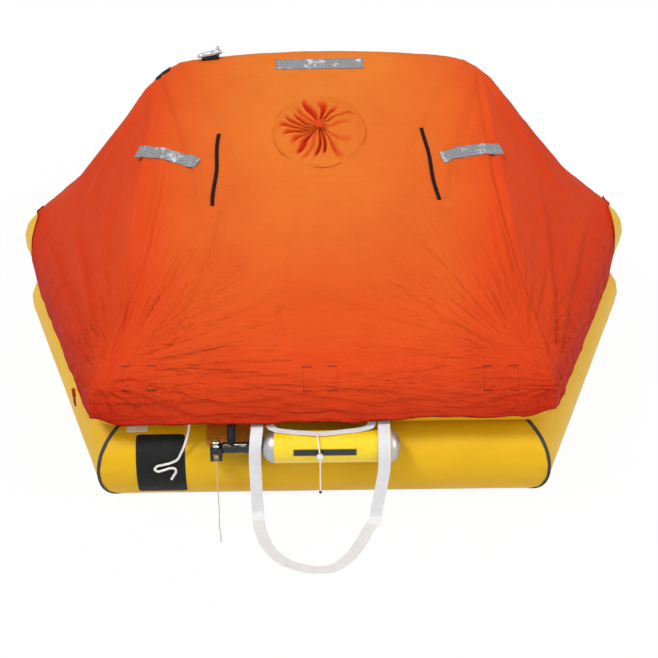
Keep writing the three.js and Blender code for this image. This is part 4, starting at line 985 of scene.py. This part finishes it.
def closed_sheet(name, top, bottom, material, replaces=()):
    """A thin closed piece between two grids of points."""
    rows_, cols_ = len(top), len(top[0])
    points = flat_list(top) + flat_list(bottom)
    shift = rows_ * cols_
    faces = grid_faces(rows_, cols_)
    faces += [tuple(i + shift for i in reversed(f)) for f in grid_faces(rows_, cols_)]
    rim = [c for c in range(cols_)] + [r * cols_ + cols_ - 1 for r in range(1, rows_)]
    rim += [(rows_ - 1) * cols_ + c for c in range(cols_ - 2, -1, -1)]
    rim += [r * cols_ for r in range(rows_ - 2, 0, -1)]
    for a, b in zip(rim, rim[1:] + rim[:1]):
        faces.append((b, a, a + shift, b + shift))
    return orient(add_mesh(name, points, faces, material, BODY, replaces))


def laid(name, start, end, width, thick, count, across, material, node, lift=0.9, shape=None):
    start, end = np.array(start, float), np.array(end, float)
    d = (end - start) / np.linalg.norm(end - start)
    side = np.array([-d[1], d[0]])
    spots = np.zeros((count + 1, across + 1, 2))
    for i in range(count + 1):
        for j in range(across + 1):
            t, u = i / count, j / across - 0.5
            spots[i, j] = start + (end - start) * t + side * (u * width + (shape(t, u) if shape else 0.0))
    base = SLOPE_TOP + spots[:, :, 1:] * SLOPE_D + spots[:, :, :1] * np.array([1.0, 0, 0])
    seen = np.array([[on_canopy(*spot) for spot in row] for row in spots])
    height = (seen - base) @ SLOPE_N
    # stiff film bridges the small creases and doesn't dive over the edge of the slope
    step = np.linalg.norm(end - start) / count
    for i in range(count // 2 + 1, count + 1):
        height[i] = np.maximum(height[i], height[i - 1] - 0.55 * step)
    for i in range(count // 2 - 1, -1, -1):
        height[i] = np.maximum(height[i], height[i + 1] - 0.55 * step)
    for _ in range(10):
        wide = np.pad(height, 1, mode="edge")
        around = (wide[:-2, 1:-1] + wide[2:, 1:-1] + wide[1:-1, :-2] + wide[1:-1, 2:]) / 4
        height = np.maximum(height, around)
    top, bottom = [], []
    for i in range(count + 1):
        waves = [0.5 * (noise.noise(Vector((spot[0] / 24, spot[1] / 24, 7.0))) + 0.5) for spot in spots[i]]
        top.append([base[i, j] + SLOPE_N * (height[i, j] + lift + thick + waves[j])
                    for j in range(across + 1)])
        bottom.append([base[i, j] + SLOPE_N * (height[i, j] + lift * 0.4) for j in range(across + 1)])
    return closed_sheet(name, top, bottom, material, (node,))


laid("top_tape_film", (-164, 26), (160, 26), 50, 0.7, 60, 10, FILM, "reflective_tape_top")
laid("left_tape_film", (-665, 384), (-438, 491), 50, 0.7, 48, 10, FILM, "reflective_tape_left",
     2.4)
laid("right_tape_film", (430, 474), (653, 402), 50, 0.7, 48, 10, FILM, "reflective_tape_right",
     1.6)
laid("left_tie_webbing", (-367, 351), (-378, 685), 13, 1.6, 60, 4, BLACK_WEB, "door_tie_left",
     1.2, lambda t, u: 3 * math.sin(t * 9))
laid("right_tie_webbing", (366, 342), (412, 669), 13, 1.6, 60, 4, BLACK_WEB, "door_tie_right",
     1.2, lambda t, u: 3 * math.sin(t * 8 + 2))


def make_port():
    """Round sleeve gathered shut: a flat ring seam and cloth swirled into a knot."""
    cx, cy, radius = -4, 354, 168
    n_r, n_a = 60, 300
    # bearings and depths of the gathers, from the right side round by the bottom of the ring
    gathers = [(0.5, 0.45), (0.95, 0.6), (1.4, 1.0), (1.72, 0.9), (2.05, 0.5), (2.35, 1.0), (2.64, 0.8),
               (2.95, 1.0), (3.22, 0.9), (3.52, 1.0), (3.86, 0.9), (4.15, 0.6), (4.45, 1.0), (4.8, 1.0),
               (5.16, 0.8), (5.6, 0.55), (6.12, 0.45)]
    top, painted_fold_shade = [], []
    for i in range(n_r + 1):
        t = i / n_r
        r = radius * (1 - t)
        row = []
        for j in range(n_a):
            a = 2 * math.pi * j / n_a
            bearing = a + 0.16 * t ** 1.6 + 0.14 * math.sin(3 * a + 5 * t)
            valley = 0.0
            for place_, depth in gathers:
                gap = abs((bearing - place_ + math.pi) % (2 * math.pi) - math.pi)
                spread = 0.05 + 0.07 * t
                start = max(0.0, min(1.0, (t - 0.12 * (1 + math.sin(place_ * 5.3))) / 0.2))
                valley = max(valley, depth * start * math.exp(-(gap / spread) ** 2))
            body = min(1.0, t / 0.1) * (1 - 0.55 * max(0, (t - 0.7) / 0.3))
            puff = 24 * (1 - (1 - min(1, t / 0.4)) ** 2) * (1 - 0.3 * t)
            cone = 24 * max(0, (t - 0.72) / 0.28) ** 1.3
            ring = 2.2 * math.exp(-((t - 0.05) / 0.025) ** 2)
            crease = noise.noise(Vector((r * math.cos(a) / 30, r * math.sin(a) / 30, 5.0))) * 6 * body
            h = 1.2 + ring + puff + cone + crease - 22 * body * valley
            h = max(h, 1.0) if t > 0 else 0.3
            wob = 1 + 0.012 * math.sin(a * 5 + 1)
            spot = on_canopy(cx + r * wob * math.cos(a), cy + r * wob * math.sin(a))
            row.append(spot + SLOPE_N * h)
            # painted light on the gathered cloth, painted shade in the valleys of the gathers
            painted_fold_shade.append(0.95 - 1.0 * valley ** 1.5 * body)
        top.append(row)
    points = flat_list(top)
    faces = grid_faces(n_r + 1, n_a, close_columns=True)
    base = len(points)
    low = [on_canopy(cx + radius * math.cos(2 * math.pi * j / n_a),
                     cy + radius * math.sin(2 * math.pi * j / n_a), 0.2) for j in range(n_a)]
    points += low
    for j in range(n_a):
        k = (j + 1) % n_a
        faces.append((base + j, base + k, k, j))
    obj = orient(add_mesh("port_sleeve_cloth", points, faces, CANOPY, BODY, ("port_sleeve",)))
    paint(obj, "painted_light_shade", painted_fold_shade + [0.8] * (len(obj.data.vertices) - len(painted_fold_shade)))


def stitches(name, spots, normals, size, material, every=1):
    """Short raised stitches along a line of points."""
    points, faces = [], []
    for i in range(0, len(spots) - 1, 2 * every):
        a, b = np.array(spots[i]), np.array(spots[min(i + every, len(spots) - 1)])
        d = b - a
        if np.linalg.norm(d) < 1e-6:
            continue
        n = np.array(normals[i])
        side = np.cross(d / np.linalg.norm(d), n) * size
        up = n * size * 0.9
        start = len(points)
        for p in (a, b):
            for u, v in ((-1, 0), (-0.5, 1), (0.5, 1), (1, 0)):
                points.append(p + side * u + up * v)
        faces += [(start, start + 1, start + 5, start + 4), (start + 1, start + 2, start + 6, start + 5),
                  (start + 2, start + 3, start + 7, start + 6), (start + 3, start, start + 4, start + 7),
                  (start, start + 3, start + 2, start + 1), (start + 4, start + 5, start + 6, start + 7)]
    return orient(add_mesh(name, points, faces, material))


make_port()


def make_port_knot():
    centre = on_canopy(-4, 354) + SLOPE_N * 34
    turn = Vector((0, 0, 1)).rotation_difference(Vector(SLOPE_N))
    points, faces = [], []
    rows_, cols_ = 14, 40
    for i in range(rows_ + 1):
        t = i / rows_
        z = 22 * t
        r = 11 + 9 * math.sin(math.pi * min(1, t * 1.1)) ** 2 - 12 * max(0, t - 0.75) * 3
        for j in range(cols_):
            a = 2 * math.pi * j / cols_
            rr = max(0.4, r * (1 + 0.14 * math.cos(7 * a + 3 * t) + 0.07 * math.cos(12 * a)))
            p = turn @ Vector((rr * math.cos(a), rr * math.sin(a), z))
            points.append(centre + np.array(p))
    faces = tube_faces(rows_ + 1, cols_)
    orient(add_mesh("port_gather_knot", points, faces, CANOPY_PLAIN, BODY, ("port_knot",)))


make_port_knot()


def skirt_patch(name, middle, low, high, node):
    top, bottom = [], []
    cells, wide = 24, 113
    for i in range(cells + 1):
        bearing = low + (high - low) * i / cells
        rim_row = i in (0, cells)
        top.append([on_skirt(middle + wide * (j / cells - 0.5), bearing,
                             0.25 if rim_row or j in (0, cells) else 0.9) for j in range(cells + 1)])
        bottom.append([on_skirt(middle + wide * (j / cells - 0.5), bearing, 0.1) for j in range(cells + 1)])
    obj = closed_sheet(name, top, bottom, CANOPY, (node,))
    # painted light and shade on the patch, as on the cloth round it
    paint(obj, "painted_light_shade", painted_light_shade_of(np.array([tuple(vert.co * 1000) for vert in obj.data.vertices])))
    for tag, bearing in (("upper", high - 1.2), ("lower", low + 1.2)):
        spots = [on_skirt(middle + wide * (j / 60 - 0.5), bearing, 1.6) for j in range(61)]
        b = math.radians(bearing)
        normals = [np.array([0, -math.cos(b), math.sin(b)])] * 61
        ends = [k for k in range(61) if k < 17 or k > 43]
        left = [spots[k] for k in ends if k < 30]
        right = [spots[k] for k in ends if k > 30]
        stitches(f"{name}_{tag}_stitch_a", left, normals[:len(left)], 1.9, THREAD, 2)
        stitches(f"{name}_{tag}_stitch_b", right, normals[:len(right)], 1.9, THREAD, 2)


skirt_patch("left_skirt_patch", -590, 18, 52, "skirt_patch_left")
skirt_patch("centre_skirt_patch", -6, 15, 48, "skirt_patch_centre")
skirt_patch("right_skirt_patch", 578, 13, 46, "skirt_patch_right")


# Seam tapes

def seam_tape(name, i, node):
    bend, stretch = mitre(i)
    before, after = edge_direction(i - 1), edge_direction(i)
    low, high = -math.asin((140 - 16) / 140), math.asin((Z_TOUCH - 1.2 - 140) / 140)
    corner = np.array(CORNERS[i], float)
    top, bottom = [], []
    for k in range(61):
        a = low + (high - low) * k / 60
        for lift, rows_ in ((1.7, top), (0.2, bottom)):
            r = 140 + lift
            middle = corner + bend * (r * math.cos(a) * stretch)
            z = 140 + r * math.sin(a)
            line_ = []
            for d, direction in ((-8.5, before), (-5, before), (0, before), (5, after), (8.5, after)):
                edge = 0.7 if abs(d) == 8.5 and lift > 1 else 0.0
                p = middle + direction * d
                line_.append((p[0] - bend[0] * edge, p[1] - bend[1] * edge, z))
            rows_.append(line_)
    closed_sheet(name, top, bottom, TWILL, (node,))


seam_tape("front_left_seam", 0, "seam_tape_front_left")
seam_tape("front_right_seam", 1, "seam_tape_front_right")
seam_tape("rear_right_seam", 3, "seam_tape_rear_right")
seam_tape("rear_left_seam", 4, "seam_tape_rear_left")


# Patches on the front tube

def wrapped(name, left, right, low, high, centre, material, node, rounding=0.0, thick=1.2, lift=0.3):
    """A bonded patch with round corners on the front tube."""
    rows_, cols_ = 40, 30
    height = math.radians(high - low) * 140
    width = right - left
    top, bottom = [], []
    for i in range(rows_ + 1):
        v = i / rows_
        inset = 0.0
        edge = min(v, 1 - v) * height
        if rounding and edge < rounding:
            inset = rounding - math.sqrt(max(0, rounding ** 2 - (rounding - edge) ** 2))
        row_t, row_b = [], []
        for j in range(cols_ + 1):
            u = j / cols_
            x = left + inset + (width - 2 * inset) * u
            rim = 0.0 if 0 < i < rows_ and 0 < j < cols_ else 0.6
            row_t.append(front_point(x, low + (high - low) * v, 140 + lift + thick - rim, centre))
            row_b.append(front_point(x, low + (high - low) * v, 140 + lift - 0.2, centre))
        top.append(row_t)
        bottom.append(row_b)
    return closed_sheet(name, top, bottom, material, (node,))


wrapped("front_patch_sheet", -622, -459, -38, 56, Z_LOW, BLACK_RUBBER, "front_patch", 10)
# a bonded patch whose darker orange-brown is partly painted shade from the skirt
wrapped("head_patch_sheet", -388, -240, 38, 72, Z_LOW, PAINTED_SHADE_ORANGE_PATCH, "head_backing_patch", 8)
wrapped("lifeline_patch_sheet", -655, -585, 60, 70, Z_LOW, WHITE_WEB, "lifeline_patch", 3)


# Gas cylinder and operating head

# from the tube's middle to the cylinder's: tube, saddle and cylinder, 35 degrees up
CYL_REACH = 140 + 4.6 + 52
CYL_Y = -1156 - CYL_REACH * math.cos(math.radians(35))
CYL_Z = 140 + CYL_REACH * math.sin(math.radians(35))


def lathe_x(name, profile, material, node=None, segments=72, body=BODY, y=CYL_Y, z=CYL_Z):
    """Turned piece along X from [x, radius] pairs."""
    points, faces = [], []
    for x, r in profile:
        for k in range(segments):
            a = 2 * math.pi * k / segments
            points.append((x, y + r * math.sin(a), z + r * math.cos(a)))
    faces = tube_faces(len(profile), segments)
    return orient(add_mesh(name, points, faces, material, body, (node,) if node else ()))


def make_cylinder():
    left, right, r = -204.0, 254.0, 52.0
    profile = [(left, 8.0)]
    for i in range(1, 17):
        a = math.pi / 2 * i / 16
        profile.append((left + 44 * (1 - math.cos(a)), max(8.0, r * math.sin(a))))
    profile.append((0, r))
    for i in range(17):
        a = math.pi / 2 * i / 16
        profile.append((right - 30 + 30 * math.sin(a), max(0.5, r * math.cos(a))))
    lathe_x("cylinder_shell", profile, ALUMINIUM, "gas_cylinder")
    sleeve = lathe_x("sleeve_film", [(-160, 52.2), (-160, 53.0), (-158, 53.1), (-100, 53.1), (-40, 53.1), (30, 53.1),
                                     (100, 53.1), (160, 53.1), (222, 53.1), (224, 53.0), (224, 52.2)],
                     SLEEVE, "cylinder_sleeve")
    bm = bmesh.new()
    bm.from_mesh(sleeve.data)
    bmesh.ops.subdivide_edges(bm, edges=[e for e in bm.edges if abs(e.verts[0].co.x - e.verts[1].co.x) > 0.01],
                              cuts=9)
    bm.to_mesh(sleeve.data)
    bm.free()
    bars = []
    for v in sleeve.data.vertices:
        x = v.co.x * 1000
        around = math.degrees(math.atan2(-(v.co.y * 1000 - CYL_Y), v.co.z * 1000 - CYL_Z))
        bars.append(1.0 if -98 < x < 108 and 66 < around < 92 else 0.0)
    paint(sleeve, "bar", bars)
    lathe_x("neck_brass", [(-214.7, 9), (-214.7, 13.4), (-213.5, 14), (-206, 14), (-204.6, 13.2), (-204.3, 9)], BRASS,
            "valve_neck")
    head = [(-331, 6), (-331, 15.5), (-329.5, 18), (-318, 18.6), (-316, 17.2), (-312, 17.2), (-310, 19), (-292, 19),
            (-290, 18), (-262, 18), (-260, 19), (-236, 19), (-234, 17.4), (-230, 17.4), (-228, 19), (-219, 19),
            (-215.4, 16.5), (-215, 9)]
    lathe_x("head_body", head, BLACK_PLASTIC, "operating_head")
    lathe_x("head_rod", [(-326, 0.5), (-326, 2.2), (-222, 2.2), (-222, 0.5)], CHROME, segments=20,
            y=CYL_Y - 9, z=CYL_Z + 17.0)


make_cylinder()

HOUSE_X = -204 - 11 - 116 - 0.3 - 19.5
HOUSE_TOP = CYL_Z - 40 + 46


def box_mesh(name, size, centre, material, node=None, rounding=2.0, body=BODY):
    bm = bmesh.new()
    bmesh.ops.create_cube(bm, size=1.0)
    for v in bm.verts:
        v.co = Vector([(v.co[k] * size[k] + centre[k]) / 1000 for k in range(3)])
    mesh = bpy.data.meshes.new(name)
    bm.to_mesh(mesh)
    bm.free()
    mesh.materials.append(material)
    obj = bpy.data.objects.new(name, mesh)
    bpy.context.scene.collection.objects.link(obj)
    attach(obj, body)
    if node:
        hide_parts(node)
    bevel(obj, rounding / 1000)
    for face in obj.data.polygons:
        face.use_smooth = True
    return obj


def make_head():
    y0 = CYL_Y - 22
    pin_z = HOUSE_TOP - 46 + 11 + 5
    # guard: four walls and a back round the pin's recess
    w = 39.0
    wall = (w - 21) / 2
    mid_y = CYL_Y
    pieces_ = [
        ("guard_left_wall", (wall, 44, 46), (HOUSE_X - w / 2 + wall / 2, mid_y, HOUSE_TOP - 23)),
        ("guard_right_wall", (wall, 44, 46), (HOUSE_X + w / 2 - wall / 2, mid_y, HOUSE_TOP - 23)),
        ("guard_back", (w - 2, 20, 44), (HOUSE_X, mid_y + 11, HOUSE_TOP - 23)),
        ("guard_top", (w - 2, 42, 17.5), (HOUSE_X, mid_y, HOUSE_TOP - 9)),
        ("guard_sill", (w - 2, 42, 4.2), (HOUSE_X, mid_y, HOUSE_TOP - 46 + 2.2)),
    ]
    for i, (name, size, centre) in enumerate(pieces_):
        node = "firing_housing" if i == 0 else None
        box_mesh(name, size, centre, BLACK_PLASTIC, node, 2.2)
    box_mesh("pin_block", (20, 20, 22), (HOUSE_X, y0 + 10, pin_z), BRASS, "firing_pin", 1.5,
             "firing_pin_body")
    box_mesh("pin_tag", (11, 4.5, 9), (HOUSE_X + 2, y0 - 2.4, pin_z + 3), PINK, None, 1.2,
             "firing_pin_body")
    box_mesh("pin_lug", (8, 7, 13), (HOUSE_X, y0 - 2.6, pin_z - 4.5), BRASS, None, 1.2,
             "firing_pin_body")
    # swivel nut, turned on a vertical axis with six flats
    profile = [(0.3, 8), (0.3, 13.6), (1.6, 14.5), (4.6, 14.5), (5.6, 12.6), (14.6, 12.6), (15.6, 14.5),
               (20.5, 14.5), (22.4, 13), (23, 6)]
    points = []
    seg = 72
    for z, r in profile:
        for k in range(seg):
            a = 2 * math.pi * k / seg
            flat = 1.0
            if 5.5 < z < 15:
                flat = 1 / max(0.87, math.cos((a % (math.pi / 3)) - math.pi / 6)) * 0.9
            points.append((HOUSE_X + r * flat * math.cos(a), CYL_Y + r * flat * math.sin(a), HOUSE_TOP + z))
    faces = tube_faces(len(profile), seg)
    orient(add_mesh("swivel_nut_turned", points, faces, CHROME, BODY, ("swivel_nut",)))


make_head()


def make_hose():
    b = math.radians(-36)
    seat = np.array(front_point(-300, -36, 140, Z_UP))
    out = np.array([0, -math.cos(b), math.sin(b)])
    top = seat + out * 7.3
    route = [top, top + out * 12, np.array([-300, CYL_Y - 1, CYL_Z + 41]),
             np.array([-300, CYL_Y, CYL_Z + 17])]
    path, _ = smooth_path(route, 60)
    along = tangents(path)
    points = []
    sides = 40
    for i, (c, t) in enumerate(zip(path, along)):
        side = np.array([1.0, 0, 0])
        side -= t * (side @ t)
        side /= np.linalg.norm(side)
        other = np.cross(t, side)
        r = 13.4 + 0.6 * math.cos(i * 1.3)
        for k in range(sides):
            a = 2 * math.pi * k / sides
            points.append(c + side * r * math.cos(a) + other * r * math.sin(a))
    faces = tube_faces(len(path), sides)
    orient(add_mesh("inlet_hose_ribbed", points, faces, BLACK_RUBBER, BODY, ("inlet_hose",)))


make_hose()


# Light on the ridge

def make_light():
    share = 0.06
    p, d = bezier(ARC["start"], ARC["crown"], ARC["start"] * np.array([-1, 1]), share)
    n = np.array([-d[1], d[0]])
    seat = np.array([p[0], 0, p[1]]) + np.array([n[0], 0, n[1]]) * (ARCH + 2 + 3 + 0.6)
    frame_ = Matrix([[d[0], 0, n[0], seat[0]], [0, 1, 0, 0], [d[1], 0, n[1], seat[2]], [0, 0, 0, 1]])

    def put(points):
        return [np.array(frame_ @ Vector(q)) for q in points]

    def turned(name, profile, centre, tilt, material, node, segments=40, flat=None):
        pts = []
        c, s = math.cos(tilt), math.sin(tilt)
        for along_, r in profile:
            for k in range(segments):
                a = 2 * math.pi * k / segments
                y, z = r * math.sin(a), r * math.cos(a)
                x2, z2 = along_ * c - z * s, along_ * s + z * c
                z3 = z2 + centre[2]
                if flat is not None:
                    z3 = max(z3, flat)
                pts.append((x2 + centre[0], y + centre[1], z3))
        faces = tube_faces(len(profile), segments)
        return orient(add_mesh(name, put(pts), faces, material, BODY, (node,)))
    turned("light_housing", [(-48, 2), (-47, 6), (-43, 9.4), (-36, 11), (-30, 11.4), (-29, 10.6), (-26, 10.6),
                             (-25, 11.5), (20, 11.5), (21, 10.4), (24, 10.4), (25, 11), (38, 9.4), (45, 6.6), (48, 2)],
           (0, 0, 17), math.radians(7), ALUMINIUM, "light_body", 48, 8.3)
    turned("light_globe", [(0, 3), (0.2, 6.8), (8, 7), (11, 5.8), (13, 3.6), (14, 0.6)],
           (32, 0, 31.4), math.radians(90), CLEAR, "light_lens", 32)
    bm = bmesh.new()
    bmesh.ops.create_cube(bm, size=1.0)
    for v in bm.verts:
        v.co = frame_ @ Vector((v.co.x * 66, v.co.y * 34, v.co.z * 8 + 4))
        v.co /= 1000
    mesh = bpy.data.meshes.new("light_foot")
    bm.to_mesh(mesh)
    bm.free()
    mesh.materials.append(BLACK_RUBBER)
    foot = bpy.data.objects.new("light_foot", mesh)
    bpy.context.scene.collection.objects.link(foot)
    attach(foot, BODY)
    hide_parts("light_base")
    bevel(foot, 0.003)


make_light()


# Finishes of the pieces kept from the solid model

KEPT = {
    "arch_tube": YELLOW, "floor_sheet": DARK_FLOOR, "ballast_pocket_front": BLACK_WEB,
    "ballast_pocket_rear": BLACK_WEB, "cylinder_saddle_left": BLACK_RUBBER, "cylinder_saddle_right": BLACK_RUBBER,
    "inlet_flange": BLACK_RUBBER, "strap_anchor_left": BLACK_RUBBER, "strap_anchor_right": BLACK_RUBBER,
    "line_anchor": BLACK_RUBBER, "shoulder_tab": BLACK_WEB, "ring_tab": CANOPY_PLAIN, "skirt_ring": RED_STEEL,
    "tie_toggle": WHITE_PLASTIC, "tie_bead": BLACK_PLASTIC, "cable_ball": WHITE_PLASTIC,
    "topping_valve_lower": BLACK_PLASTIC, "topping_valve_upper": BLACK_PLASTIC,
    "topping_cap_lower": BLACK_PLASTIC, "topping_cap_upper": BLACK_PLASTIC,
    "relief_valve_lower": WHITE_PLASTIC, "relief_valve_upper": WHITE_PLASTIC,
}
for name, material in KEPT.items():
    obj = nodes[name]
    if isinstance(obj, str):
        obj = bpy.data.objects[obj]
    if not obj.material_slots:
        obj.data.materials.append(material)
    for slot_ in obj.material_slots:
        slot_.material = material


# Floor, light and background

def make_studio():
    mesh = bpy.data.meshes.new("studio_floor")
    size = 14.0
    z = -0.0005
    corners = [(-size, -size, z), (size, -size, z), (size, size, z), (-size, size, z)]
    mesh.from_pydata(corners, [], [(0, 1, 2, 3)])
    floor = bpy.data.objects.new("studio_floor", mesh)
    bpy.context.scene.collection.objects.link(floor)
    n = Nodes("studio_floor")
    diffuse = n.new("ShaderNodeBsdfDiffuse", Color=(0.86, 0.86, 0.86, 1))
    glow = n.new("ShaderNodeEmission", Color=(1, 1, 1, 1), Strength=1.0)
    path = n.new("ShaderNodeLightPath")
    seen = n.maths("MAXIMUM", n.maths("MAXIMUM", path.outputs["Is Camera Ray"], path.outputs["Is Glossy Ray"]),
                   path.outputs["Is Transmission Ray"])
    mix = n.new("ShaderNodeMixShader")
    n.link(n.maths("MULTIPLY", seen, 0.97), mix.inputs[0])
    n.link(diffuse.outputs[0], mix.inputs[1])
    n.link(glow.outputs[0], mix.inputs[2])
    n.link(mix.outputs[0], n.out.inputs["Surface"])
    mesh.materials.append(n.mat)

    world = bpy.data.worlds.new("studio")
    bpy.context.scene.world = world
    world.use_nodes = True
    tree_ = world.node_tree
    tree_.nodes.clear()
    out = tree_.nodes.new("ShaderNodeOutputWorld")
    white = tree_.nodes.new("ShaderNodeBackground")
    white.inputs["Strength"].default_value = 1.0
    white.inputs["Color"].default_value = (1, 1, 1, 1)
    soft = tree_.nodes.new("ShaderNodeBackground")
    soft.inputs["Color"].default_value = (1, 1, 1, 1)
    soft.inputs["Strength"].default_value = 0.42
    path = tree_.nodes.new("ShaderNodeLightPath")
    most = tree_.nodes.new("ShaderNodeMath")
    most.operation = "MAXIMUM"
    more = tree_.nodes.new("ShaderNodeMath")
    more.operation = "MAXIMUM"
    tree_.links.new(path.outputs["Is Camera Ray"], most.inputs[0])
    tree_.links.new(path.outputs["Is Transmission Ray"], most.inputs[1])
    tree_.links.new(most.outputs[0], more.inputs[0])
    tree_.links.new(path.outputs["Is Glossy Ray"], more.inputs[1])
    mix = tree_.nodes.new("ShaderNodeMixShader")
    tree_.links.new(more.outputs[0], mix.inputs[0])
    tree_.links.new(soft.outputs[0], mix.inputs[1])
    tree_.links.new(white.outputs[0], mix.inputs[2])
    tree_.links.new(mix.outputs[0], out.inputs[0])

    for name, energy, angle, direction in (("key", 1.75, 16, (0.42, 0.34, -0.82)),
                                           ("fill", 1.05, 40, (-0.75, 0.45, -0.48))):
        lamp = bpy.data.lights.new(name, "SUN")
        lamp.energy = energy
        lamp.angle = math.radians(angle)
        obj = bpy.data.objects.new(name, lamp)
        obj.rotation_mode = "QUATERNION"
        obj.rotation_quaternion = Vector(direction).to_track_quat("-Z", "Y")
        obj.location = (0, 0, 4)
        bpy.context.scene.collection.objects.link(obj)
    bpy.context.scene.view_settings.view_transform = "Standard"


make_studio()
